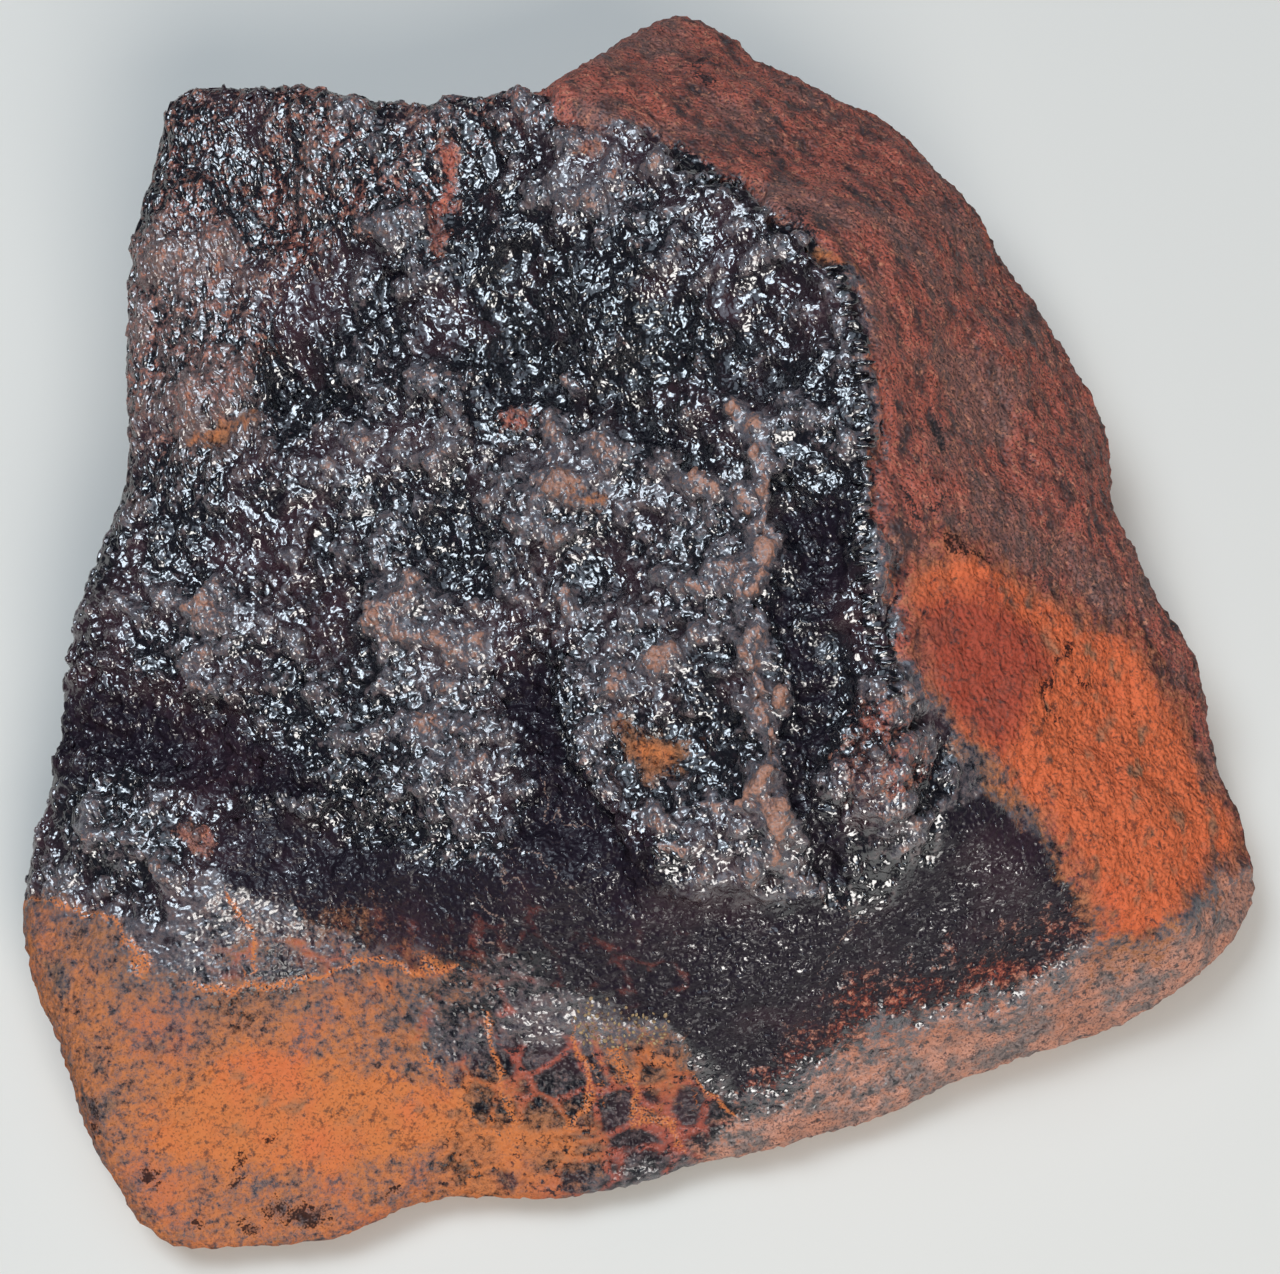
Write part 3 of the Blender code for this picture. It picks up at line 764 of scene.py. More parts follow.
# Thin streaks and specks, each with its half width and its strength.
STREAKS: dict[Mask, tuple[Line, ...]] = {
    Mask.DUST: (
        Line((
            (5.9, 9.5), (7.2, 7.5), (7.7, 4.3), (7.4, 1.2), (7.8, -0.7), (7.3, -3.4), (7.6, -5.9),
            (7.6, -9.4), (7.7, -13.2), (7.9, -16.2), (9.1, -18.7),
        ), 0.65, 1.05),
        Line(((0.6, 6.2), (3.1, 5.0), (6.8, 3.6)), 0.8, 0.7),
        Line(((3.6, -14.7), (6.0, -14.8), (7.7, -14.1)), 0.9, 0.8),
        Line(((3.7, -0.1), (6.1, -3.2), (7.3, -4.6)), 0.8, 0.4),
    ),
    Mask.RUST: (
        Line(((-13.1, 30.0), (-12.7, 27.2), (-13.1, 23.5)), 0.8, 0.9),
        Line(((-8.2, 10.7), (-7.2, 10.7)), 0.9, 0.8),
        Line(((-3.6, 28.2), (-2.9, 28.2)), 0.7, 0.8),
        Line(((-29.0, -12.8), (-27.9, -14.9)), 0.5, 0.8),
        Line(((-1.8, 26.2), (-1.7, 25.6)), 0.6, 0.7),
    ),
    Mask.SOIL: (
        Line(((-29.1, 12.5), (-27.3, 12.7), (-25.3, 13.4)), 0.7, 0.6),
        Line(((-3.9, 5.1), (-3.1, 5.1)), 0.8, 0.5),
        Line(((11.9, 18.9), (12.9, 18.6)), 0.7, 0.7),
    ),
    Mask.SPECK: (
        Line(((27.8, -2.6), (26.3, -3.4), (25.6, -5.0), (25.8, -6.6), (26.4, -7.7)), 0.22, 0.9),
        Line(((28.2, -4.0), (28.8, -5.1)), 0.22, 0.8),
        Line(((4.0, 38.5), (4.8, 36.2)), 0.43, 0.9),
        Line(((18.7, 9.8), (18.8, 7.8)), 0.31, 0.9),
        Line(((16.9, 3.5), (17.3, 1.9)), 0.31, 0.9),
        Line(((19.0, 4.2), (18.8, 2.8)), 0.25, 0.8),
        Line(((19.9, 1.3), (21.6, 1.1)), 0.31, 0.8),
        Line(((7.5, 28.9), (9.5, 28.8)), 0.31, 0.9),
        Line(((9.5, 23.2), (10.8, 20.9)), 0.43, 0.9),
        Line(((12.2, 18.2), (13.1, 17.5)), 0.37, 0.9),
        Line(((-23.2, -31.5), (-23.7, -32.6)), 0.19, 0.9),
        Line(((-25.4, -33.3), (-25.8, -34.6), (-26.2, -35.7)), 0.19, 0.9),
        Line(((-31.2, -33.9), (-30.7, -35.3)), 0.31, 0.9),
        Line(((-29.1, -36.0), (-28.0, -36.4)), 0.25, 0.9),
        Line(((-25.8, -37.1), (-24.3, -37.2)), 0.31, 0.9),
        Line(((-22.6, -36.1), (-20.4, -36.3)), 0.81, 0.9),
        Line(((-16.0, -34.8), (-15.4, -34.6)), 0.37, 0.7),
        Line(((-35.4, -30.3), (-34.8, -31.6)), 0.37, 0.8),
    ),
}  # fmt: skip

# Cracks, each with its half width.
CRACKS: dict[Mask, tuple[Line, ...]] = {
    Mask.CRACK: (
        Line(((-41.0, -15.8), (-40.1, -16.1), (-36.4, -17.6), (-34.0, -19.6), (-31.7, -21.9)), 0.24),
        Line((
            (-28.2, -23.4), (-24.6, -23.5), (-22.1, -22.7), (-18.1, -21.8), (-13.8, -22.2), (-11.5, -22.6),
        ), 0.24),
        Line(((-25.6, -18.3), (-25.0, -20.3), (-24.6, -23.5)), 0.2),
        Line((
            (-9.6, -25.2), (-9.3, -27.1), (-8.7, -28.6), (-8.3, -30.2), (-8.1, -32.0), (-7.8, -33.2),
        ), 0.26),
        Line(((-14.0, -27.5), (-12.0, -29.3), (-10.1, -31.0), (-7.8, -33.1)), 0.24),
        Line(((-3.8, -26.5), (-3.3, -28.8), (-3.5, -30.2), (-5.1, -31.2)), 0.22),
        Line(((-1.5, -27.7), (-0.6, -30.1), (0.0, -30.7), (1.6, -30.4), (2.2, -30.4), (2.7, -31.6)), 0.24),
        Line(((3.8, -28.9), (4.7, -29.3), (6.1, -30.4)), 0.14),
    ),
    # Pale hairline cracks whose pale colour partly stands for rows of small glints: partly painted highlight.
    Mask.PALE_CRACK: (
        Line(((-10.5, -16.3), (-8.8, -17.6), (-7.9, -19.3)), 0.06),
        Line(((-7.1, -16.8), (-5.6, -17.9), (-5.0, -19.1)), 0.06),
        Line(((-9.8, -19.0), (-9.1, -20.7), (-8.7, -21.5)), 0.06),
        Line(((-9.9, -21.5), (-8.7, -22.6)), 0.06),
        Line(((9.6, -20.0), (11.4, -19.9), (12.7, -20.1)), 0.05),
        Line(((13.4, -20.9), (12.7, -22.0), (12.3, -23.0)), 0.04),
        Line(((-6.5, -12.8), (-5.6, -14.0), (-3.7, -15.3)), 0.05),
        Line(((-26.0, 29.1), (-25.1, 27.3), (-24.7, 24.6)), 0.08),
    ),
}  # fmt: skip


@dataclass(frozen=True)
class Cover:
    """What lies on the stone and where: soil, rust, dust, the dark matt front, cracks and specks, and the
    painted shade of its scoops, valleys and walls.
    """

    areas: dict = field(default_factory=AREAS.copy)
    streaks: dict = field(default_factory=STREAKS.copy)
    cracks: dict = field(default_factory=CRACKS.copy)
    crack_edge: tuple[float, float] = (0.5, 1.2)
    crack_limit: float = 8.0
    sway: Sway = field(default_factory=Sway)

    def strength(self, mask: Mask, x: Points, y: Points) -> Points:
        """Measures a mask.

        Args:
            mask: The mask.
            x: Plan positions across the stone.
            y: Plan positions along the stone.

        Returns:
            How strongly the mask holds at each position.
        """
        marks = self.areas.get(mask, ()) + self.streaks.get(mask, ())
        return np.max([mark.at(x, y) for mark in marks], axis=0)

    def crack_side(self, mask: Mask, x: Points, y: Points) -> tuple[Points, Points]:
        """Measures the cracks of one kind.

        Args:
            mask: Which cracks.
            x: Plan positions across the stone.
            y: Plan positions along the stone.

        Returns:
            The distance from the nearest crack in widths of that crack, below zero on its right-hand side,
            and how near the crack is, from 1 on it to 0 where nothing of it may show.
        """
        nearest = np.full(x.shape, np.inf)
        signed = np.full(x.shape, np.inf)
        reach = np.zeros(x.shape)
        for crack in self.cracks[mask]:
            for start, end in zip(crack.points, crack.points[1:]):
                gap = Line((start, end), 1.0).gap(x, y)
                ahead = (end[0] - start[0]) * (y - start[1])
                side = np.sign(ahead - (end[1] - start[1]) * (x - start[0]))
                widths = gap / crack.half_width
                signed = np.where(widths < nearest, widths * side, signed)
                nearest = np.minimum(widths, nearest)
                reach = np.maximum(reach, 1.0 - fade(gap, self.crack_edge))
        return np.clip(signed, -self.crack_limit, self.crack_limit), reach


class Wiring:
    """Adds nodes to one node tree and joins them."""

    def __init__(self, tree: bpy.types.NodeTree) -> None:
        """Starts with an empty tree."""
        self.tree = tree
        tree.nodes.clear()

    def add(self, kind: str, inputs: dict | None = None, output: int | str = 0, **settings: object) -> Socket:
        """Adds a node.

        Args:
            kind: The node's type.
            inputs: What goes into its sockets, by name or number: a value or another node's socket.
            output: Which of its sockets is wanted.
            **settings: The node's own settings.

        Returns:
            The wanted socket.
        """
        node = self.tree.nodes.new(kind)
        for name, value in settings.items():
            setattr(node, name, value)
        for key, value in (inputs or {}).items():
            self.feed(node.inputs[key], value)
        return node.outputs[output]

    def feed(self, socket: Socket, value: object) -> None:
        """Gives a socket a value, or joins it to another node's socket."""
        if isinstance(value, Socket):
            self.tree.links.new(value, socket)
        else:
            socket.default_value = value

    def maths(self, operation: str, *values: object) -> Socket:
        """Returns the result of a sum on plain numbers."""
        return self.add("ShaderNodeMath", dict(enumerate(values)), operation=operation)

    def step(self, value: object, low: float, high: float, first: float = 0.0, last: float = 1.0) -> Socket:
        """Makes a smooth step.

        Args:
            value: The number that goes from low to high.
            low: Where the step starts.
            high: Where the step ends.
            first: The result up to the start.
            last: The result from the end on.

        Returns:
            The step's result.
        """
        return self.add(
            "ShaderNodeMapRange",
            {"Value": value, "From Min": low, "From Max": high, "To Min": first, "To Max": last},
            interpolation_type="SMOOTHSTEP",
        )

    def noise(self, where: object, scale: object, detail: float = 2.0, roughness: float = 0.5) -> Socket:
        """Returns soft noise from 0 to 1 with its features 1 / scale apart."""
        return self.add(
            "ShaderNodeTexNoise", {"Vector": where, "Scale": scale, "Detail": detail, "Roughness": roughness}
        )


class GrowthWiring(Wiring):
    """The wiring of a Geometry Nodes tree."""

    def mask(self, kind: Mask) -> Socket:
        """Returns a mask that the stone carries."""
        return self.add("GeometryNodeInputNamedAttribute", {"Name": kind.value}, data_type="FLOAT")

    def vector(self, operation: str, first: object, second: object) -> Socket:
        """Returns the result of a sum on two vectors."""
        return self.add("ShaderNodeVectorMath", {0: first, 1: second}, operation=operation)

    def scaled(self, vector: object, size: object) -> Socket:
        """Returns a vector times a number."""
        return self.add("ShaderNodeVectorMath", {0: vector, "Scale": size}, operation="SCALE")

    def height_of(self, vector: object) -> Socket:
        """Returns the Z of a vector."""
        return self.add("ShaderNodeSeparateXYZ", {0: vector}, output="Z")

    def swayed(self, where: object, scale: float, reach: float) -> Socket:
        """Returns positions pushed about by noise, so that a pattern on them isn't regular."""
        inputs = {"Vector": where, "Scale": scale, "Detail": 2.0}
        push = self.add("ShaderNodeTexNoise", inputs, output="Color")
        centred = self.vector("SUBTRACT", push, (0.5, 0.5, 0.5))
        return self.vector("ADD", where, self.scaled(centred, reach))

    def stretched(self, where: object, turn: float, squeeze: float) -> Socket:
        """Returns positions turned about the upright and squeezed along their own Y."""
        turned = self.add("ShaderNodeVectorRotate", {"Vector": where, "Angle": turn}, rotation_type="Z_AXIS")
        return self.vector("MULTIPLY", turned, (1.0, squeeze, 1.0))

    def upwardness(self) -> Socket:
        """Returns how far the surface faces up, from 1 on a level top to -1 underneath."""
        return self.height_of(self.add("GeometryNodeInputNormal"))

    def finish(self, geometry: Socket, material: Socket) -> None:
        """Ends the tree with a plain mesh in one material."""
        single = self.add("GeometryNodeRealizeInstances", {"Geometry": geometry})
        dressed = self.add("GeometryNodeSetMaterial", {"Geometry": single, "Material": material})
        self.tree.links.new(dressed, self.tree.nodes.new("NodeGroupOutput").inputs["Geometry"])


def growth(name: str, inputs: Inputs) -> tuple[bpy.types.NodeTree, GrowthWiring]:
    """Starts a Geometry Nodes tree.

    Args:
        name: The tree's name.
        inputs: The kind and value of each named input.

    Returns:
        The tree and the wiring to fill it with.
    """
    tree = bpy.data.node_groups.new(name, "GeometryNodeTree")
    tree.interface.new_socket("Geometry", in_out="INPUT", socket_type="NodeSocketGeometry")
    tree.interface.new_socket("Geometry", in_out="OUTPUT", socket_type="NodeSocketGeometry")
    for label, (kind, _) in inputs.items():
        tree.interface.new_socket(label, in_out="INPUT", socket_type=kind)
    return tree, GrowthWiring(tree)


def applied(thing: bpy.types.Object, modifier: bpy.types.Modifier) -> bpy.types.Mesh:
    """Returns what a modifier makes of an object as a plain mesh, and takes the modifier off."""
    bpy.context.view_layer.update()
    mesh = bpy.data.meshes.new_from_object(thing.evaluated_get(bpy.context.evaluated_depsgraph_get()))
    thing.modifiers.remove(modifier)
    return mesh


def grown(thing: bpy.types.Object, tree: bpy.types.NodeTree, inputs: Inputs) -> bpy.types.Mesh:
    """Runs a tree on an object and takes the plain mesh that comes out.

    Args:
        thing: The object that the tree grows from.
        tree: The Geometry Nodes tree.
        inputs: The kind and value of each named input.

    Returns:
        The finished mesh.
    """
    modifier = thing.modifiers.new(tree.name, "NODES")
    modifier.node_group = tree
    for item in tree.interface.items_tree:
        if item.in_out == "INPUT" and item.name in inputs:
            modifier[item.identifier] = inputs[item.name][1]
    return applied(thing, modifier)


@dataclass(frozen=True)
class Texture:
    """One pattern of the crust's small relief, with its size and height in millimetres."""

    name: str
    size: float
    height: float
    gain: float
    sway: tuple[float, float] | None = None
    stretch: tuple[float, float] | None = None
    detail: float = 2.0
    roughness: float = 0.5
    billowy: bool = False
    billow_middle: float = 0.6

    def shape(self, wiring: GrowthWiring, where: Socket, size: Socket) -> Socket:
        """Makes the pattern.

        Args:
            wiring: The wiring of the tree.
            where: The positions to make it on, already swayed and stretched.
            size: The tree's input for the size.

        Returns:
            The pattern about zero; a billowy one has round lumps between sharp creases.
        """
        frequency = wiring.maths("DIVIDE", 1.0, size)
        noise = wiring.noise(where, frequency, self.detail, self.roughness)
        spread = wiring.maths("MULTIPLY_ADD", noise, self.gain, -0.5 * self.gain)
        if not self.billowy:
            return spread
        return wiring.maths("SUBTRACT", wiring.maths("ABSOLUTE", spread), self.billow_middle)

    def placed(self, wiring: GrowthWiring, where: Socket) -> Socket:
        """Moves positions for the pattern.

        Args:
            wiring: The wiring of the tree.
            where: The positions.

        Returns:
            The positions swayed and stretched as the pattern asks.
        """
        if self.sway:
            where = wiring.swayed(where, *self.sway)
        if self.stretch:
            where = wiring.stretched(where, *self.stretch)
        return where


@dataclass(frozen=True)
class CrustRelief:
    """The small relief of the crust, raised by Geometry Nodes along the surface, in millimetres."""

    textures: tuple[Texture, ...] = (
        Texture("Lump", 3.4, 0.85, 6.0, sway=(0.45, 1.8), billowy=True),
        Texture("Knob", 1.25, 0.40, 5.0, sway=(1.1, 0.7), billowy=True),
        Texture("Wrinkle", 0.75, 0.16, 4.0, sway=(0.35, 1.6), stretch=(0.30, 0.28)),
        Texture("Grain", 0.75, 0.42, 2.0, detail=4.0, roughness=0.62),
        Texture("Streak", 0.9, 0.24, 2.0, sway=(0.25, 2.0), stretch=(-0.35, 0.30), roughness=0.6),
    )
    net_size: float = 2.6
    net_sway: tuple[float, float] = (0.5, 1.2)
    facing_up: tuple[float, float, float, float] = (0.2, 0.75, 0.35, 1.0)
    wrinkled_loss: float = 0.55
    bumpy_loss: float = 0.75
    faint_lumps: float = 0.14
    above_floor: tuple[float, float] = (0.3, 3.0)
    broad_noise: tuple[float, float, float] = (0.16, 4.0, 0.6)
    middle_noise: tuple[float, float, float] = (0.55, 4.0, 0.68)
    streak_noise: tuple[float, float, float] = (1.1, 3.0, 0.7)

    def inputs(self, material: bpy.types.Material) -> Inputs:
        """Returns the tree's named inputs."""
        number = "NodeSocketFloat"
        return {
            **{f"{texture.name} Size": (number, texture.size) for texture in self.textures},
            **{f"{texture.name} Height": (number, texture.height) for texture in self.textures},
            "Net Size": (number, self.net_size),
            "Material": ("NodeSocketMaterial", material),
        }

    def height(self, wiring: GrowthWiring, given: object, shapes: dict[str, Socket]) -> Socket:
        """Adds the patterns up.

        Args:
            wiring: The wiring of the tree.
            given: The tree's inputs.
            shapes: The patterns, by name.

        Returns:
            How high the relief stands at each point, with each pattern where it belongs.
        """
        bumpy = wiring.mask(Mask.BUMPY)
        wrinkled = wiring.mask(Mask.WRINKLED)
        smooth = wiring.maths("MULTIPLY_ADD", wrinkled, -self.wrinkled_loss, 1.0)
        upper = wiring.step(wiring.upwardness(), *self.facing_up)
        plain = wiring.maths("MULTIPLY", wiring.maths("MULTIPLY", bumpy, smooth), upper)
        bare = wiring.maths("MULTIPLY_ADD", bumpy, -self.bumpy_loss, 1.0)
        height = 0.0
        for name, share in (
            ("Lump", plain),
            ("Knob", plain),
            ("Wrinkle", wrinkled),
            ("Grain", bare),
            ("Lump", wiring.maths("MULTIPLY", bare, self.faint_lumps)),
            ("Streak", wiring.mask(Mask.RUST)),
        ):
            full = wiring.maths("MULTIPLY", shapes[name], given[f"{name} Height"])
            height = wiring.maths("ADD", height, wiring.maths("MULTIPLY", full, share))
        above = wiring.step(wiring.height_of(wiring.add("GeometryNodeInputPosition")), *self.above_floor)
        return wiring.maths("MULTIPLY", height, above)

    def tree(self, inputs: Inputs) -> bpy.types.NodeTree:
        """Builds the tree.

        Args:
            inputs: The tree's named inputs.

        Returns:
            A tree that raises lumps, knobs, wrinkles, grain and streaks and keeps how high each point went,
            with the slow patterns that the finish reads.
        """
        tree, wiring = growth("crust relief", inputs)
        given = wiring.add("NodeGroupInput").node.outputs
        where = wiring.add("GeometryNodeInputPosition")
        places = {texture.name: texture.placed(wiring, where) for texture in self.textures}
        shapes = {
            texture.name: texture.shape(wiring, places[texture.name], given[f"{texture.name} Size"])
            for texture in self.textures
        }
        height = self.height(wiring, given, shapes)
        net = {
            "Vector": wiring.swayed(where, *self.net_sway),
            "Scale": wiring.maths("DIVIDE", 1.0, given["Net Size"]),
        }
        patterns = {
            Mask.RELIEF: height,
            Mask.BROAD: wiring.noise(where, *self.broad_noise),
            Mask.MIDDLE: wiring.noise(where, *self.middle_noise),
            Mask.STREAK: wiring.noise(places["Streak"], *self.streak_noise),
            Mask.NET: wiring.add("ShaderNodeTexVoronoi", net, feature="DISTANCE_TO_EDGE"),
        }
        geometry = given["Geometry"]
        for kind, value in patterns.items():
            geometry = wiring.add(
                "GeometryNodeStoreNamedAttribute",
                {"Geometry": geometry, "Name": kind.value, "Value": value},
                data_type="FLOAT",
            )
        offset = wiring.scaled(wiring.add("GeometryNodeInputNormal"), height)
        moved = wiring.add("GeometryNodeSetPosition", {"Geometry": geometry, "Offset": offset})
        wiring.finish(moved, given["Material"])
        return tree


@dataclass(frozen=True)
class Beads:
    """Small domes of one kind that stand close together where a mask is strong, in millimetres."""

    name: str
    mask: Mask
    seed: int
    spacing: float
    density: float
    half_length: tuple[float, float]
    half_width: tuple[float, float]
    height: tuple[float, float]
    turn: float = 0.6
    flow: tuple[float, float, float] = (0.28, -1.0, -0.25)
    sides: int = 7
    rings: tuple[tuple[float, float], ...] = ((0.92, -1.1), (0.70, 0.58))
    unevenness: float = 0.22
    shine: float = 1.0
    upward: tuple[float, float] = (0.0, 0.3)
    mask_edge: tuple[float, float] = (0.3, 0.9)
    fewer_in_lows: tuple[float, float, float, float] = (-0.5, 0.1, 0.3, 1.0)
    fewer_in_dust: tuple[float, float, float, float] = (0.3, 0.9, 1.0, 0.55)
    longer_in_wrinkles: float = 0.7

    def inputs(self, helpers: dict, material: bpy.types.Material) -> Inputs:
        """Returns the tree's named inputs."""
        number, vector = "NodeSocketFloat", "NodeSocketVector"
        low, high = ((self.half_length[i], self.half_width[i], self.height[i]) for i in (0, 1))
        return {
            "Spacing": (number, self.spacing),
            "Density": (number, self.density),
            "Smallest": (vector, low),
            "Largest": (vector, high),
            "Turn": (number, self.turn),
            "Seed": ("NodeSocketInt", self.seed),
            "Material": ("NodeSocketMaterial", material),
            **{label: ("NodeSocketObject", helper) for label, helper in helpers.items()},
        }

    def helpers(self) -> dict[str, bpy.types.Object]:
        """Returns the objects that the tree needs, by the name of its input."""
        return {"Bead": self.bead()}

    def bead(self) -> bpy.types.Object:
        """Returns one low dome, a unit wide each way, with its crown marked."""
        shape = bmesh.new()
        crown = shape.verts.layers.float.new(Mask.CROWN.value)
        rows = []
        chance = np.random.default_rng(self.seed)
        reach = 1.0 + chance.uniform(-self.unevenness, self.unevenness, self.sides)
        for number, (radius, height) in enumerate(self.rings):
            turns = 2.0 * np.pi * (np.arange(self.sides) + 0.5 * number) / self.sides
            across = radius * reach * np.cos(turns)
            along = radius * reach * np.sin(turns)
            rows.append([shape.verts.new((x, y, height)) for x, y in zip(across, along)])
            for point in rows[-1]:
                point[crown] = max(height, 0.0) * self.shine
        top = shape.verts.new((0.0, 0.0, 1.0))
        top[crown] = self.shine
        for lower, upper in zip(rows, rows[1:]):
            for i in range(self.sides):
                following = (i + 1) % self.sides
                shape.faces.new((lower[i], lower[following], upper[i]))
                shape.faces.new((upper[i], lower[following], upper[following]))
        for i in range(self.sides):
            shape.faces.new((rows[-1][i], rows[-1][(i + 1) % self.sides], top))
        mesh = bpy.data.meshes.new(self.name)
        shape.to_mesh(mesh)
        shape.free()
        mesh.shade_smooth()
        return bpy.data.objects.new(self.name, mesh)

    def sites(self, wiring: GrowthWiring, given: object) -> tuple[Socket, Socket]:
        """Sows the beads where the mask is strong, more of them on the heights than in the lows and the dust.

        Args:
            wiring: The wiring of the tree.
            given: The tree's inputs.

        Returns:
            The points of the beads and how they face.
        """
        room = wiring.maths(
            "MULTIPLY",
            wiring.step(wiring.mask(Mask.RELIEF), *self.fewer_in_lows),
            wiring.step(wiring.mask(Mask.DUST), *self.fewer_in_dust),
        )
        room = wiring.maths("MULTIPLY", room, wiring.step(wiring.upwardness(), *self.upward))
        inside = wiring.step(wiring.mask(self.mask), *self.mask_edge)
        sown = wiring.add(
            "GeometryNodeDistributePointsOnFaces",
            {
                "Mesh": given["Geometry"],
                "Distance Min": given["Spacing"],
                "Density Max": given["Density"],
                "Density Factor": wiring.maths("MULTIPLY", inside, room),
                "Seed": given["Seed"],
            },
            distribute_method="POISSON",
        )
        return sown, sown.node.outputs["Rotation"]

    @staticmethod
    def chance(wiring: GrowthWiring, kind: str, limits: tuple[object, object], seed: Socket) -> Socket:
        """Draws a random number or vector for each bead.

        Args:
            wiring: The wiring of the tree.
            kind: Whether numbers or vectors are drawn.
            limits: The smallest and the largest.
            seed: The seed of the draw.

        Returns:
            The drawn values.
        """
        node = wiring.tree.nodes.new("FunctionNodeRandomValue")
        node.data_type = kind
        ends = [socket for socket in node.inputs if socket.enabled and socket.name in ("Min", "Max")]
        for socket, value in zip(ends, limits):
            wiring.feed(socket, value)
        wiring.feed(node.inputs["Seed"], seed)
        return next(socket for socket in node.outputs if socket.enabled)

    def tree(self, inputs: Inputs) -> bpy.types.NodeTree:
        """Builds the tree.

        Args:
            inputs: The tree's named inputs.

        Returns:
            A tree that sets the beads on the stone and turns them along the flow of the crust.
        """
        tree, wiring = growth(self.name, inputs)
        given = wiring.add("NodeGroupInput").node.outputs
        sown, facing = self.sites(wiring, given)
        flow = wiring.add(
            "FunctionNodeAlignRotationToVector",
            {"Rotation": facing, "Vector": self.flow},
            axis="X",
            pivot_axis="Z",
        )
        turns = (wiring.maths("MULTIPLY", given["Turn"], -1.0), given["Turn"])
        swing = self.chance(wiring, "FLOAT", turns, wiring.maths("ADD", given["Seed"], 1.0))
        spin = wiring.add("FunctionNodeAxisAngleToRotation", {"Axis": (0.0, 0.0, 1.0), "Angle": swing})
        turned = wiring.add(
            "FunctionNodeRotateRotation", {"Rotation": flow, "Rotate By": spin}, rotation_space="LOCAL"
        )
        sizes = (given["Smallest"], given["Largest"])
        size = self.chance(wiring, "FLOAT_VECTOR", sizes, wiring.maths("ADD", given["Seed"], 2.0))
        length = wiring.maths("MULTIPLY_ADD", wiring.mask(Mask.WRINKLED), self.longer_in_wrinkles, 1.0)
        longer = wiring.add("ShaderNodeCombineXYZ", {0: length, 1: 1.0, 2: 1.0})
        size = wiring.vector("MULTIPLY", size, longer)
        bead = wiring.add("GeometryNodeObjectInfo", {"Object": given["Bead"]}, output="Geometry")
        inputs = {"Points": sown, "Instance": bead, "Rotation": turned, "Scale": size}
        wiring.finish(wiring.add("GeometryNodeInstanceOnPoints", inputs), given["Material"])
        return tree

    def build(self, ground: bpy.types.Object, material: bpy.types.Material) -> bpy.types.Object:
        """Sows the beads.

        Args:
            ground: The stone, still in millimetres.
            material: The finish of the beads.

        Returns:
            One object that holds all the beads, still in millimetres.
        """
        helpers = self.helpers()
        inputs = self.inputs(helpers, material)
        mesh = grown(ground, self.tree(inputs), inputs)
        mesh.name = self.name
        for helper in helpers.values():
            bpy.data.meshes.remove(helper.data)
        beads = bpy.data.objects.new(self.name, mesh)
        bpy.context.scene.collection.objects.link(beads)
        return beads


@dataclass(frozen=True)
class Comb(Beads):
    """Short ribs that stand across a sharp crest, close together like the teeth of a comb."""

    path: Plan = (
        (11.9, 18.2), (12.8, 16.0), (13.4, 13.4), (13.6, 10.1), (13.6, 7.0), (13.5, 3.8), (13.6, 0.0),
        (13.9, -3.7), (14.6, -6.9), (15.3, -9.7),
    )  # fmt: skip
    above: float = 60.0
    stray: tuple[float, float] = (1.7, 1.0)

    def helpers(self) -> dict[str, bpy.types.Object]:
        """Returns the objects that the tree needs, by the name of its input."""
        mesh = bpy.data.meshes.new("crest path")
        edges = [(start, start + 1) for start in range(len(self.path) - 1)]
        mesh.from_pydata([(x, y, 0.0) for x, y in self.path], edges, [])
        return {**super().helpers(), "Path": bpy.data.objects.new("crest path", mesh)}

    def sites(self, wiring: GrowthWiring, given: object) -> tuple[Socket, Socket]:
        """Sets the ribs one after another along the path, on the stone below it.

        Args:
            wiring: The wiring of the tree.
            given: The tree's inputs.

        Returns:
            The points of the ribs and how they face.
        """
        line = wiring.add("GeometryNodeObjectInfo", {"Object": given["Path"]}, output="Geometry")
        curve = wiring.add("GeometryNodeMeshToCurve", {"Mesh": line})
        inputs = {"Curve": curve, "Length": given["Spacing"]}
        points = wiring.add("GeometryNodeCurveToPoints", inputs, mode="LENGTH")
        where = wiring.swayed(wiring.add("GeometryNodeInputPosition"), *self.stray)
        hit = wiring.add(
            "GeometryNodeRaycast",
            {
                "Target Geometry": given["Geometry"],
                "Source Position": wiring.vector("ADD", where, (0.0, 0.0, self.above)),
                "Ray Direction": (0.0, 0.0, -1.0),
                "Ray Length": 2.0 * self.above,
            },
            output="Hit Position",
        )
        stood = wiring.add("GeometryNodeSetPosition", {"Geometry": points, "Position": hit})
        normal = hit.node.outputs["Hit Normal"]
        return stood, wiring.add("FunctionNodeAlignRotationToVector", {"Vector": normal}, axis="Z")


def new_material(name: str) -> bpy.types.Material:
    """Returns a new material that is made of nodes."""
    material = bpy.data.materials.new(name)
    material.use_nodes = True
    return material


class FinishWiring(Wiring):
    """The wiring of a material, with its pattern on Object coordinates."""

    def millimetres(self) -> Socket:
        """Returns the object's own positions in millimetres."""
        metres = self.add("ShaderNodeTexCoord", output="Object")
        return self.add("ShaderNodeMapping", {"Vector": metres, "Scale": (MILLIMETRES,) * 3})

    def blend(self, share: object, first: object, second: object) -> Socket:
        """Returns the first colour where the share is 0 and the second where it is 1."""
        return self.add("ShaderNodeMix", {0: share, 6: first, 7: second}, output=2, data_type="RGBA")

    def tinted(self, colour: object, *tints: tuple) -> Socket:
        """Lays tints over a colour, one after another.

        Args:
            colour: The colour to start from.
            *tints: For each one a pattern, the limits and ends of a smooth step on it, and the tint.

        Returns:
            The tinted colour.
        """
        for pattern, step, tint in tints:
            colour = self.blend(self.step(pattern, *step), colour, tint)
        return colour

    def shade(self, inputs: dict) -> None:
        """Ends the material with a shader."""
        shader = self.add("ShaderNodeBsdfPrincipled", inputs)
        self.tree.links.new(shader, self.tree.nodes.new("ShaderNodeOutputMaterial").inputs["Surface"])


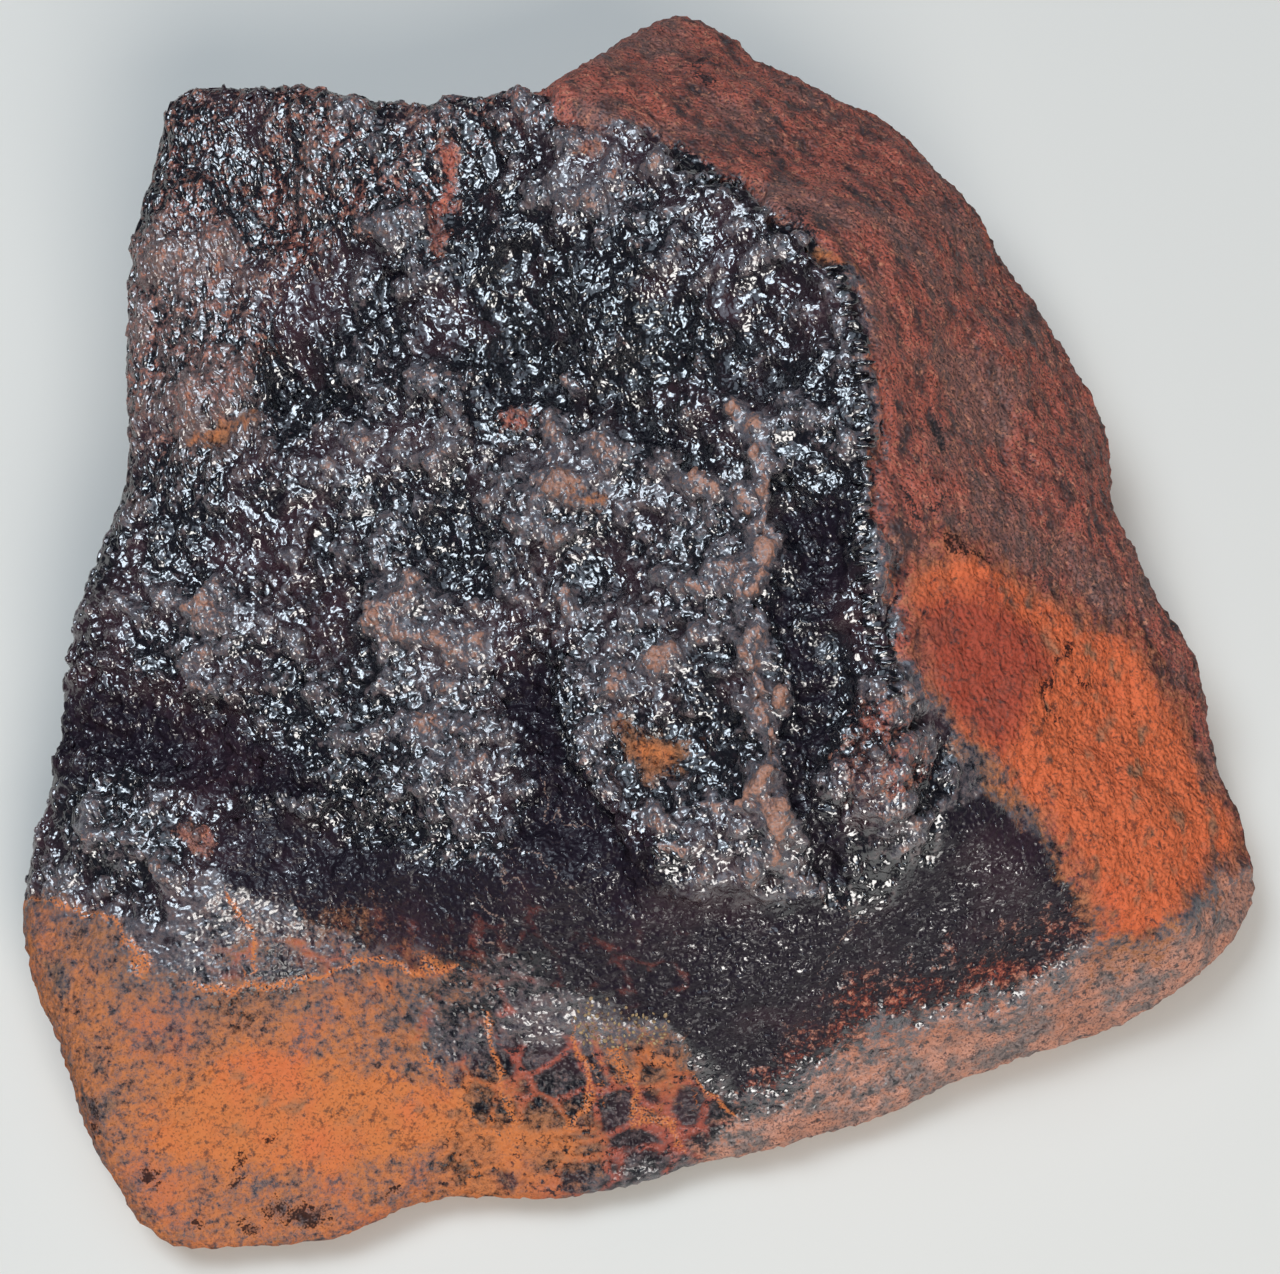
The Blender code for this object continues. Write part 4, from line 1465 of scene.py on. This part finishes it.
class CrustWiring(FinishWiring):
    """The wiring of the crust's material, with the patterns and masks that all its layers read."""

    def __init__(self, tree: bpy.types.NodeTree) -> None:
        """Starts with the fine patterns of the finish and the slow ones that the stone carries."""
        super().__init__(tree)
        self.where = self.millimetres()
        self.fine = self.noise(self.where, 1.9, 3.0, 0.75)
        self.grit = self.noise(self.where, 7.0, 0.0)
        self.broad = self.mask(Mask.BROAD)
        self.middle = self.mask(Mask.MIDDLE)
        self.streak = self.mask(Mask.STREAK)
        self.crown = self.mask(Mask.CROWN)
        # Dark and matt where the DARK areas lie; on the nose wall, beside the rib and on the west ledge this
        # is painted shade.
        self.matt_dark = self.share(Mask.DARK, {self.middle: 1.2, self.fine: 0.8}, 0.3, 0.7)

    def mask(self, kind: Mask) -> Socket:
        """Returns a mask that the stone carries."""
        return self.add("ShaderNodeAttribute", output="Fac", attribute_name=kind.value)

    def within(self, first: object, second: object) -> Socket:
        """Returns the product of two shares."""
        return self.maths("MULTIPLY", first, second)

    def largest(self, first: object, *others: object) -> Socket:
        """Returns the largest of some numbers."""
        for other in others:
            first = self.maths("MAXIMUM", first, other)
        return first

    def weighed(self, total: object, *parts: tuple) -> Socket:
        """Adds parts to a total.

        Args:
            total: The number to start from.
            *parts: Each part with its weight.

        Returns:
            The new total.
        """
        for part, weight in parts:
            total = self.maths("MULTIPLY_ADD", part, weight, total)
        return total

    def stirred(self, total: object, patterns: dict[Socket, float]) -> Socket:
        """Adds patterns to a total without a change of its average.

        Args:
            total: The number to start from.
            patterns: Patterns from 0 to 1, each with its weight.

        Returns:
            The new total.
        """
        for pattern, weight in patterns.items():
            total = self.maths("ADD", total, self.maths("MULTIPLY_ADD", pattern, weight, -0.5 * weight))
        return total

    def share(self, kind: Mask, patterns: dict[Socket, float], low: float, high: float) -> Socket:
        """Breaks up the edge of a mask.

        Args:
            kind: The mask.
            patterns: The patterns that break it up, each with its weight.
            low: The stirred value below which nothing is covered.
            high: The stirred value above which all is covered.

        Returns:
            How far the mask's layer covers each place.
        """
        given = self.mask(kind)
        empty = self.step(given, 0.25, 0.0)
        return self.step(self.stirred(self.maths("SUBTRACT", given, empty), patterns), low, high)


@dataclass(frozen=True)
class WeatheredCrust:
    """The finish of the whole stone: glossy black crust under a grey film, rust, dust and orange soil, with
    painted shade in its hollows and a painted sheen in the film.
    """

    black: Colour = (0.004, 0.004, 0.008, 1.0)
    plum: Colour = (0.040, 0.018, 0.025, 1.0)
    dust: Colour = (0.39, 0.185, 0.125, 1.0)
    # A real grey film of dust that also stands in for the crust's bluish-grey shine: partly a painted sheen.
    film_and_sheen: Colour = (0.108, 0.100, 0.116, 1.0)
    film_red: Colour = (0.155, 0.092, 0.080, 1.0)
    soil: Colour = (0.58, 0.180, 0.058, 1.0)
    soil_red: Colour = (0.66, 0.130, 0.056, 1.0)
    matt_black: Colour = (0.020, 0.013, 0.021, 1.0)
    soil_dark: Colour = (0.085, 0.048, 0.034, 1.0)
    soil_olive: Colour = (0.25, 0.150, 0.090, 1.0)
    rust: Colour = (0.40, 0.095, 0.062, 1.0)
    rust_dark: Colour = (0.038, 0.020, 0.022, 1.0)
    rust_pale: Colour = (0.50, 0.20, 0.12, 1.0)
    rust_grey: Colour = (0.17, 0.095, 0.080, 1.0)
    red: Colour = (0.34, 0.060, 0.040, 1.0)
    # Colour of the pale hairline cracks, partly a painted highlight of the glints along them.
    pale: Colour = (0.26, 0.17, 0.14, 1.0)
    rim: Colour = (0.56, 0.265, 0.185, 1.0)
    rim_grey: Colour = (0.22, 0.165, 0.150, 1.0)
    gloss_roughness: float = 0.20
    matt_roughness: float = 0.62
    glassiness: float = 1.85
    gloss: float = 0.72
    least_gloss: float = 0.06
    bump_scale: float = 3.4
    bump_depth: float = 0.00021

    def bare_crust(self, wiring: CrustWiring) -> Socket:
        """Colours the bare crust.

        Args:
            wiring: The wiring of the material.

        Returns:
            The colour of the crust where nothing lies on it.
        """
        glossy = wiring.tinted(
            self.black,
            (wiring.broad, (0.48, 0.66), self.plum),
            (wiring.fine, (0.52, 0.72, 0.0, 0.5), self.plum),
        )
        return wiring.blend(wiring.within(wiring.matt_dark, 0.6), glossy, self.matt_black)

    def film_dust_and_painted_light(self, wiring: CrustWiring) -> tuple[Layer, Layer]:
        """Lays the thin grey film, partly a painted sheen, and the dust, which gather in the same places,
        with painted shade in the hollows and lows and painted highlight on the heights.

        Args:
            wiring: The wiring of the material.

        Returns:
            How far the film, partly a painted sheen, covers each place and its colour, and the same of the
            dust.
        """
        relief = wiring.mask(Mask.RELIEF)
        dust_and_painted_light = wiring.weighed(
            0.08,
            (wiring.mask(Mask.DUST), 1.0),
            # Painted shade and painted highlight: the hollows and the lows of the relief get less film and
            # dust and stay darker, the lumps and heights get more and turn lighter.
            (wiring.mask(Mask.HOLLOW), -0.75),
            (wiring.step(relief, 0.10, -0.40), -0.80),
            (wiring.step(relief, 0.10, 0.60), 0.35),
            (wiring.mask(Mask.SOIL), 0.45),
            (wiring.crown, -0.30),
        )
        dust_and_painted_light = wiring.stirred(dust_and_painted_light, {wiring.middle: 1.5, wiring.fine: 3.0, wiring.broad: 0.8})
        # The dark matt parts lose their dust and film, which is painted shade on the nose wall, beside the
        # rib and on the west ledge.
        dust_and_painted_light = wiring.weighed(dust_and_painted_light, (wiring.matt_dark, -0.95))
        film_sheen_and_shade = wiring.weighed(
            wiring.maths("ADD", dust_and_painted_light, 0.40),
            # Painted shade: the film is kept off the shaded scoops, valleys and walls.
            (wiring.mask(Mask.BLACK), -0.85),
            (wiring.mask(Mask.CRAZED), -0.5),
        )
        # Painted shade as well: the dark matt parts also lose the film.
        film_and_sheen = wiring.within(wiring.step(film_sheen_and_shade, -0.22, 0.66), wiring.weighed(0.92, (wiring.matt_dark, -0.9)))
        tint = wiring.tinted(
            self.film_and_sheen,
            (wiring.fine, (0.42, 0.62, 0.0, 0.55), self.film_red),
            (wiring.mask(Mask.WRINKLED), (0.1, 0.9, 0.0, 0.7), self.film_red),
        )
        gritty = wiring.step(wiring.grit, 0.66, 0.48, 0.55, 1.0)
        dust = wiring.within(wiring.step(dust_and_painted_light, 0.42, 1.20, 0.0, 0.95), gritty)
        return (film_and_sheen, tint), (dust, self.dust)

    def rust_layer(self, wiring: CrustWiring) -> Layer:
        """Lays the rust.

        Args:
            wiring: The wiring of the material.

        Returns:
            How far rust covers each place, and its streaky colour.
        """
        share = wiring.share(Mask.RUST, {wiring.middle: 1.2, wiring.fine: 2.2}, 0.25, 0.85)
        return share, wiring.tinted(
            self.rust_dark,
            (wiring.streak, (0.36, 0.56), self.rust),
            (wiring.broad, (0.46, 0.62, 0.0, 0.7), self.rust_grey),
            (wiring.fine, (0.50, 0.70, 0.0, 0.9), self.rust_pale),
            (wiring.middle, (0.50, 0.32, 0.0, 0.8), self.rust_dark),
            (wiring.streak, (0.64, 0.78, 0.0, 0.6), self.soil_red),
            (wiring.grit, (0.54, 0.70, 0.0, 0.85), self.rust_dark),
            (wiring.fine, (0.42, 0.30, 0.0, 0.6), self.rust_dark),
        )

    def rim_layer(self, wiring: CrustWiring) -> Layer:
        """Lays the pale side band.

        Args:
            wiring: The wiring of the material.

        Returns:
            How far the band covers each place, and its colour.
        """
        share = wiring.share(Mask.RIM, {wiring.fine: 2.0, wiring.middle: 1.2}, 0.15, 0.85)
        return share, wiring.tinted(
            self.rim_grey,
            (wiring.middle, (0.42, 0.58), self.rim),
            (wiring.broad, (0.48, 0.60, 0.0, 0.6), self.rust_pale),
            (wiring.fine, (0.52, 0.66, 0.0, 0.7), self.rust_pale),
            (wiring.fine, (0.48, 0.34, 0.0, 0.9), self.rust_dark),
            (wiring.grit, (0.55, 0.72, 0.0, 0.6), self.rust_dark),
        )

    def soil_layer(self, wiring: CrustWiring) -> Layer:
        """Lays the orange soil.

        Args:
            wiring: The wiring of the material.

        Returns:
            How far soil covers each place, and its colour.
        """
        patterns = {wiring.middle: 1.6, wiring.fine: 2.0, wiring.grit: 0.5}
        return wiring.share(Mask.SOIL, patterns, 0.05, 0.92), wiring.tinted(
            self.soil,
            (wiring.mask(Mask.RUST), (0.3, 0.9, 0.0, 0.75), self.soil_red),
            (wiring.broad, (0.46, 0.66, 0.0, 0.45), self.soil_red),
            (wiring.middle, (0.48, 0.34, 0.0, 0.8), self.soil_olive),
            (wiring.mask(Mask.SOIL), (0.80, 0.30, 0.0, 0.6), self.soil_olive),
            (wiring.mask(Mask.RED), (0.2, 0.9, 0.0, 0.85), self.red),
            (wiring.fine, (0.46, 0.32, 0.0, 0.6), self.soil_dark),
            (wiring.grit, (0.58, 0.74, 0.0, 0.5), self.soil_dark),
        )

    def crazed(self, wiring: CrustWiring, colour: Socket, soiled: Socket) -> Socket:
        """Draws the net of fine seams: rust and soil in the crazed crust, dark lines in the soil.

        Args:
            wiring: The wiring of the material.
            colour: The colour so far.
            soiled: How far soil covers each place.

        Returns:
            The colour with the seams.
        """
        net = wiring.stirred(wiring.mask(Mask.NET), {wiring.fine: 0.30})
        glossy = wiring.weighed(1.0, (wiring.matt_dark, -0.6))
        seam = wiring.within(wiring.step(net, 0.12, 0.02, 0.0, 0.9), glossy)
        seam = wiring.within(seam, wiring.share(Mask.CRAZED, {wiring.middle: 2.0}, 0.3, 0.7))
        filling = wiring.blend(wiring.step(wiring.mask(Mask.SOIL), 0.1, 0.5), self.rust, self.soil)
        colour = wiring.blend(wiring.within(seam, wiring.step(wiring.fine, 0.36, 0.50)), colour, filling)
        broken = wiring.within(soiled, wiring.step(wiring.fine, 0.55, 0.45))
        line = wiring.within(wiring.step(net, 0.05, 0.0, 0.0, 0.45), broken)
        return wiring.blend(line, colour, self.rust_dark)

    def cracked(self, wiring: CrustWiring, colour: Socket) -> Socket:
        """Draws the cracks, each wandering a little and broken up by grit, and the black specks; the pale
        cracks are partly painted highlight, rows of glints drawn in a pale colour.

        Args:
            wiring: The wiring of the material.
            colour: The colour so far.

        Returns:
            The colour with the cracks and specks.
        """
        for side, reach, tint, limits in (
            (Mask.CRACK, Mask.CRACK_REACH, self.soil, (0.34, 0.56)),
            (Mask.PALE_CRACK, Mask.PALE_REACH, self.pale, (0.44, 0.60)),
        ):
            gap = wiring.maths("ABSOLUTE", wiring.stirred(wiring.mask(side), {wiring.fine: 3.0}))
            broken = wiring.within(wiring.mask(reach), wiring.step(wiring.grit, *limits))
            colour = wiring.blend(wiring.within(wiring.step(gap, 1.8, 0.3, 0.0, 0.9), broken), colour, tint)
        speck = wiring.share(Mask.SPECK, {wiring.fine: 3.0, wiring.grit: 1.0}, 0.35, 0.80)
        return wiring.blend(wiring.within(speck, 0.9), colour, self.black)

    def surface(self, wiring: CrustWiring, film_and_sheen: Socket, cover: Socket) -> dict[str, object]:
        """Makes the shine and the fine roughness of the surface.

        Args:
            wiring: The wiring of the material.
            film_and_sheen: How far the grey film, which is partly a painted sheen, covers each place.
            cover: How far dust, rust, soil or the side band covers each place.

        Returns:
            The shader's inputs, by name.
        """
        matt = wiring.within(wiring.matt_dark, wiring.step(wiring.crown, 0.9, 0.4))
        matt = wiring.largest(
            wiring.within(matt, wiring.step(wiring.fine, 0.63, 0.55)),
            wiring.step(wiring.mask(Mask.CRAZED), 0.1, 0.6),
            wiring.step(wiring.mask(Mask.SOIL), 0.1, 0.5),
        )
        roughness = wiring.weighed(self.gloss_roughness, (cover, self.matt_roughness - self.gloss_roughness))
        roughness = wiring.weighed(wiring.stirred(roughness, {wiring.grit: 0.20}), (film_and_sheen, 0.07), (matt, 0.14))
        uneven = wiring.largest(cover, wiring.within(matt, 0.6))
        bump = {
            "Height": wiring.noise(wiring.where, self.bump_scale, 0.0),
            "Distance": self.bump_depth,
            "Strength": wiring.weighed(0.40, (uneven, 0.60)),
        }
        # Painted shade: less shine where the shaded black crust is also matt, so the nose wall stays dark.
        matt_painted_shade = wiring.within(wiring.mask(Mask.BLACK), wiring.matt_dark)
        mirror = wiring.weighed(self.gloss, (cover, -0.45), (film_and_sheen, -0.06), (matt_painted_shade, -0.25), (matt, -0.60))
        return {
            "Roughness": roughness,
            "IOR": self.glassiness,
            "Specular IOR Level": wiring.largest(mirror, self.least_gloss),
            "Normal": wiring.add("ShaderNodeBump", bump),
        }

    def material(self) -> bpy.types.Material:
        """Builds the material, with its pattern on Object coordinates and the stone's mask attributes."""
        material = new_material("weathered_crust")
        wiring = CrustWiring(material.node_tree)
        (film_and_sheen, film_and_sheen_tint), (dust, dust_tint) = self.film_dust_and_painted_light(wiring)
        rust, rust_tint = self.rust_layer(wiring)
        rim, rim_tint = self.rim_layer(wiring)
        soil, soil_tint = self.soil_layer(wiring)
        colour = self.bare_crust(wiring)
        for share, tint in (
            (film_and_sheen, film_and_sheen_tint),
            (dust, dust_tint),
            (rust, rust_tint),
            (wiring.within(rim, 0.95), rim_tint),
            (soil, soil_tint),
        ):
            colour = wiring.blend(share, colour, tint)
        colour = self.cracked(wiring, self.crazed(wiring, colour, soil))
        cover = wiring.largest(dust, rust, soil, rim)
        wiring.shade({"Base Color": colour, **self.surface(wiring, film_and_sheen, cover)})
        return material


@dataclass(frozen=True)
class SoilGrain:
    """The finish of the pale soil grains."""

    pale: Colour = (0.38, 0.26, 0.13, 1.0)
    brown: Colour = (0.15, 0.085, 0.045, 1.0)
    roughness: float = 0.7
    patch_scale: float = 1.8
    patch_edge: tuple[float, float] = (0.35, 0.60)

    def material(self) -> bpy.types.Material:
        """Builds the material."""
        material = new_material("soil_grain")
        wiring = FinishWiring(material.node_tree)
        patches = wiring.step(wiring.noise(wiring.millimetres(), self.patch_scale), *self.patch_edge)
        colour = wiring.blend(patches, self.brown, self.pale)
        wiring.shade({"Base Color": colour, "Roughness": self.roughness})
        return material


@dataclass(frozen=True)
class PaleFloor:
    """The finish of the plain pale floor."""

    colour: Colour = (0.70, 0.67, 0.62, 1.0)
    mottling: float = 0.97
    mottle_scale: float = 9.0
    roughness: float = 0.9

    def material(self) -> bpy.types.Material:
        """Builds the material."""
        material = new_material("pale_floor")
        wiring = FinishWiring(material.node_tree)
        patches = wiring.noise(wiring.add("ShaderNodeTexCoord", output="Object"), self.mottle_scale, 3.0)
        darker = tuple(self.mottling * part for part in self.colour[:3]) + (1.0,)
        wiring.shade({"Base Color": wiring.blend(patches, darker, self.colour), "Roughness": self.roughness})
        return material


@dataclass
class Stone:
    """The stone's fine mesh, its masks and its finish."""

    form: StoneForm = field(default_factory=StoneForm)
    thumb_relief: ThumbRelief = field(default_factory=ThumbRelief)
    cover: Cover = field(default_factory=Cover)
    crust_relief: CrustRelief = field(default_factory=CrustRelief)
    finish: WeatheredCrust = field(default_factory=WeatheredCrust)
    beads: tuple[Beads, ...] = (
        Beads("crust_beads", Mask.BUMPY, 3, 0.56, 6.0, (0.34, 0.66), (0.22, 0.40), (0.07, 0.16)),
        Beads("crust_granules", Mask.BUMPY, 8, 0.50, 6.0, (0.18, 0.36), (0.14, 0.24), (0.06, 0.12)),
        Beads("dark_granules", Mask.DARK, 9, 0.58, 3.0, (0.10, 0.28), (0.07, 0.13), (0.06, 0.13)),
        # The ribs' shine of -1.2 gives their crowns more of the grey film, which lightens them as a painted
        # highlight along the crest.
        Comb(
            "crest_ribs", Mask.BUMPY, 4, 0.60, 1.0, (0.60, 1.00), (0.16, 0.23), (0.24, 0.40), turn=0.2,
            flow=(1.0, 0.12, 0.0), shine=-1.2,
        ),
    )  # fmt: skip
    grains: Beads = Beads(
        "soil_grains", Mask.GRAINS, 5, 0.24, 14.0, (0.08, 0.24), (0.06, 0.17), (0.06, 0.16), turn=3.1
    )
    grain_finish: SoilGrain = field(default_factory=SoilGrain)
    ball_subdivisions: int = 5
    form_splits: int = 3
    fine_splits: int = 1
    ball_half_axes: tuple[float, float, float] = (40.0, 41.0, 15.0)
    triangles: int = 192000
    floor_tolerance: float = 2e-5
    deep: float = 1.4

    def ball(self) -> tuple[Points, Points]:
        """Makes a small round ball.

        Returns:
            Its points, and its triangles as three point numbers a row.
        """
        shape = bmesh.new()
        bmesh.ops.create_icosphere(shape, subdivisions=self.ball_subdivisions, radius=1.0)
        points = np.array([vertex.co for vertex in shape.verts])
        triangles = np.array([[vertex.index for vertex in face.verts] for face in shape.faces])
        shape.free()
        return points, triangles

    @staticmethod
    def split(points: Points, triangles: Points) -> tuple[Points, Points]:
        """Cuts each triangle in four.

        Args:
            points: One row for each point, of any number of columns.
            triangles: Three point numbers a row.

        Returns:
            The points with the middles of all edges added, and the new triangles.
        """
        edges = np.sort(np.stack([triangles, np.roll(triangles, -1, axis=1)], axis=-1), axis=-1)
        keys = edges[..., 0] * len(points) + edges[..., 1]
        found, places = np.unique(keys.ravel(), return_inverse=True)
        middles = 0.5 * (points[found // len(points)] + points[found % len(points)])
        first, second, third = triangles.T
        one, two, three = (places.reshape(keys.shape) + len(points)).T
        parts = ((first, one, three), (one, second, two), (three, two, third), (one, two, three))
        return np.concatenate([points, middles]), np.concatenate([np.stack(part, axis=1) for part in parts])

    @staticmethod
    def mesh_of(points: Points, triangles: Points, name: str) -> bpy.types.Mesh:
        """Makes a mesh.

        Args:
            points: One point a row.
            triangles: Three point numbers a row.
            name: The mesh's name.

        Returns:
            The mesh of those points and triangles.
        """
        mesh = bpy.data.meshes.new(name)
        mesh.vertices.add(len(points))
        mesh.vertices.foreach_set("co", points.ravel())
        mesh.loops.add(triangles.size)
        mesh.loops.foreach_set("vertex_index", triangles.ravel())
        mesh.polygons.add(len(triangles))
        mesh.polygons.foreach_set("loop_start", np.arange(len(triangles)) * 3)
        mesh.update(calc_edges=True)
        return mesh

    @staticmethod
    def points_of(mesh: bpy.types.Mesh) -> Points:
        """Returns the mesh's points, one a row."""
        points = np.empty(len(mesh.vertices) * 3)
        mesh.vertices.foreach_get("co", points)
        return points.reshape(-1, 3)

    @staticmethod
    def keep(mesh: bpy.types.Mesh, mask: Mask, values: Points) -> None:
        """Keeps one number for each point of the mesh under a mask's name."""
        attribute = mesh.attributes.get(mask.value) or mesh.attributes.new(mask.value, "FLOAT", "POINT")
        attribute.data.foreach_set("value", values.astype(np.float32))

    def fine_mesh(self) -> bpy.types.Mesh:
        """Makes the fine mesh of the form, in millimetres.

        Returns:
            The mesh with its thumb marks, and the masks that the small relief of the crust reads.
        """
        self.form.prepare()
        points, triangles = self.ball()
        for _ in range(self.form_splits):
            points, triangles = self.split(points, triangles)
            points /= np.linalg.norm(points, axis=1, keepdims=True)
        directions = points * np.array(self.ball_half_axes)
        directions /= np.linalg.norm(directions, axis=1, keepdims=True)
        plain = self.form.surface(directions)
        table = np.concatenate([plain, self.form.normals(plain)], axis=1)
        for _ in range(self.fine_splits):
            table, triangles = self.split(table, triangles)
        points, relief = self.thumb_relief.raise_points(table[:, :3], table[:, 3:])
        mesh = self.mesh_of(points, triangles, "fine stone")
        x, y = self.cover.sway.moved(points[:, 0], points[:, 1])
        for mask in (Mask.BUMPY, Mask.WRINKLED, Mask.RUST):
            self.keep(mesh, mask, self.cover.strength(mask, x, y))
        self.keep(mesh, Mask.HOLLOW, np.clip(-relief / self.deep, -1.0, 1.0))
        return mesh

    def relieved(self, material: bpy.types.Material) -> bpy.types.Object:
        """Makes the stone itself.

        Args:
            material: The finish of the stone.

        Returns:
            The stone with the small relief of its crust, thinned to its number of triangles, in millimetres.
        """
        mesh = self.fine_mesh()
        stone = bpy.data.objects.new("weathered_stone", mesh)
        bpy.context.scene.collection.objects.link(stone)
        inputs = self.crust_relief.inputs(material)
        raised = grown(stone, self.crust_relief.tree(inputs), inputs)
        stone.data = raised
        thinned = stone.modifiers.new("fewer facets", "DECIMATE")
        thinned.ratio = self.triangles / len(mesh.polygons)
        stone.data = applied(stone, thinned)
        for used in (mesh, raised):
            bpy.data.meshes.remove(used)
        stone.data.name = stone.name
        self.mark(stone.data)
        stone.data.shade_smooth()
        return stone

    def mark(self, mesh: bpy.types.Mesh) -> None:
        """Keeps every mask of the cover on the finished mesh.

        Args:
            mesh: The stone's mesh, in millimetres.
        """
        x, y = self.cover.sway.moved(*self.points_of(mesh)[:, :2].T)
        for mask in (*self.cover.areas, Mask.SPECK):
            self.keep(mesh, mask, self.cover.strength(mask, x, y))
        for mask, reach in ((Mask.CRACK, Mask.CRACK_REACH), (Mask.PALE_CRACK, Mask.PALE_REACH)):
            side, near = self.cover.crack_side(mask, x, y)
            self.keep(mesh, mask, side)
            self.keep(mesh, reach, near)
        self.keep(mesh, Mask.CROWN, np.zeros(len(x)))

    def fit(self, pieces: list[bpy.types.Object]) -> None:
        """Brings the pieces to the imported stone's box, in metres, and presses the stone's foot flat.

        Args:
            pieces: The stone and then what lies on it.
        """
        low, high = (np.array(corner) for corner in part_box("meteorite"))
        stone = self.points_of(pieces[0].data)
        start = stone.min(axis=0)
        size = (high - low) / np.ptp(stone, axis=0)
        for piece in pieces:
            points = low + (self.points_of(piece.data) - start) * size
            foot = np.abs(points[:, 2] - low[2]) < self.floor_tolerance
            points[foot, 2] = low[2]
            piece.data.vertices.foreach_set("co", points.ravel())
            piece.data.update()

    def build(self) -> None:
        """Builds and dresses the stone and its beads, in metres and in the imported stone's place."""
        material = self.finish.material()
        stone = self.relieved(material)
        pieces = [stone] + [beads.build(stone, material) for beads in self.beads]
        pieces.append(self.grains.build(stone, self.grain_finish.material()))
        self.fit(pieces)
        for piece in pieces:
            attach(piece, "root")
            LOG.info("%s: %d triangles", piece.name, len(piece.data.polygons))
        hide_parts("meteorite")


@dataclass(frozen=True)
class Lamp:
    """A soft rectangular light."""

    name: str
    place: tuple[float, float, float]
    width: float
    height: float
    watts: float
    colour: tuple[float, float, float]

    def build(self, target: Vector) -> None:
        """Hangs the lamp and turns it to the target.

        Args:
            target: The place that the lamp shines at.
        """
        light = bpy.data.lights.new(self.name, "AREA")
        light.shape = "RECTANGLE"
        light.size = self.width
        light.size_y = self.height
        light.energy = self.watts
        light.color = self.colour
        lamp = bpy.data.objects.new(self.name, light)
        lamp.location = self.place
        lamp.rotation_euler = (target - Vector(self.place)).to_track_quat("-Z", "Y").to_euler()
        bpy.context.scene.collection.objects.link(lamp)


@dataclass(frozen=True)
class Studio:
    """The floor, the lamps and the camera."""

    target: tuple[float, float, float] = (-0.00018, -0.003335, 0.012)
    distance: float = 0.222
    elevation: float = 68.0
    focal_pixels: float = 3400.0
    picture_width: float = 1280.0
    sensor_width: float = 36.0
    nearest: float = 0.01
    floor_size: float = 4.0
    surroundings: Colour = (0.80, 0.84, 0.90, 1.0)
    surroundings_strength: float = 0.05
    lamps: tuple[Lamp, ...] = (
        Lamp("window lamp", (-0.22, 0.11, 0.55), 0.26, 0.26, 2.0, (0.78, 0.89, 1.0)),
        Lamp("sky panel", (-0.05, 0.15, 0.80), 0.90, 0.90, 2.2, (0.70, 0.84, 1.0)),
        Lamp("front lamp", (0.14, -0.46, 0.42), 0.32, 0.32, 3.0, (1.0, 0.97, 0.93)),
    )
    floor_finish: PaleFloor = field(default_factory=PaleFloor)

    def lay_floor(self) -> None:
        """Lays the pale floor under the stone."""
        shape = bmesh.new()
        bmesh.ops.create_grid(shape, x_segments=1, y_segments=1, size=self.floor_size / 2.0)
        mesh = bpy.data.meshes.new("pale_floor")
        shape.to_mesh(mesh)
        shape.free()
        mesh.materials.append(self.floor_finish.material())
        floor = bpy.data.objects.new("pale_floor", mesh)
        bpy.context.scene.collection.objects.link(floor)

    def surround(self) -> None:
        """Sets the faint light that comes from all sides."""
        world = bpy.data.worlds.new("soft surroundings")
        world.use_nodes = True
        background = world.node_tree.nodes["Background"]
        background.inputs["Color"].default_value = self.surroundings
        background.inputs["Strength"].default_value = self.surroundings_strength
        bpy.context.scene.world = world

    def aim_camera(self, target: Vector) -> None:
        """Sets up the camera.

        Args:
            target: The place in the middle of the picture.
        """
        view = np.radians(self.elevation)
        camera = bpy.data.cameras.new("camera")
        camera.sensor_width = self.sensor_width
        camera.lens = self.focal_pixels * self.sensor_width / self.picture_width
        camera.clip_start = self.nearest
        eye = bpy.data.objects.new("camera", camera)
        eye.location = target + Vector((0.0, -np.cos(view), np.sin(view))) * self.distance
        eye.rotation_euler = (target - eye.location).to_track_quat("-Z", "Y").to_euler()
        bpy.context.scene.collection.objects.link(eye)
        bpy.context.scene.camera = eye

    def build(self) -> None:
        """Sets up the floor, the lamps, the surroundings and the camera."""
        bpy.context.scene.view_settings.view_transform = "Standard"
        target = Vector(self.target)
        self.lay_floor()
        for lamp in self.lamps:
            lamp.build(target)
        self.surround()
        self.aim_camera(target)


def main() -> None:
    """Builds the studio and the stone in order."""
    logging.basicConfig(level=logging.INFO, format="%(message)s")
    Studio().build()
    Stone().build()


if __name__ == "__main__":
    main()
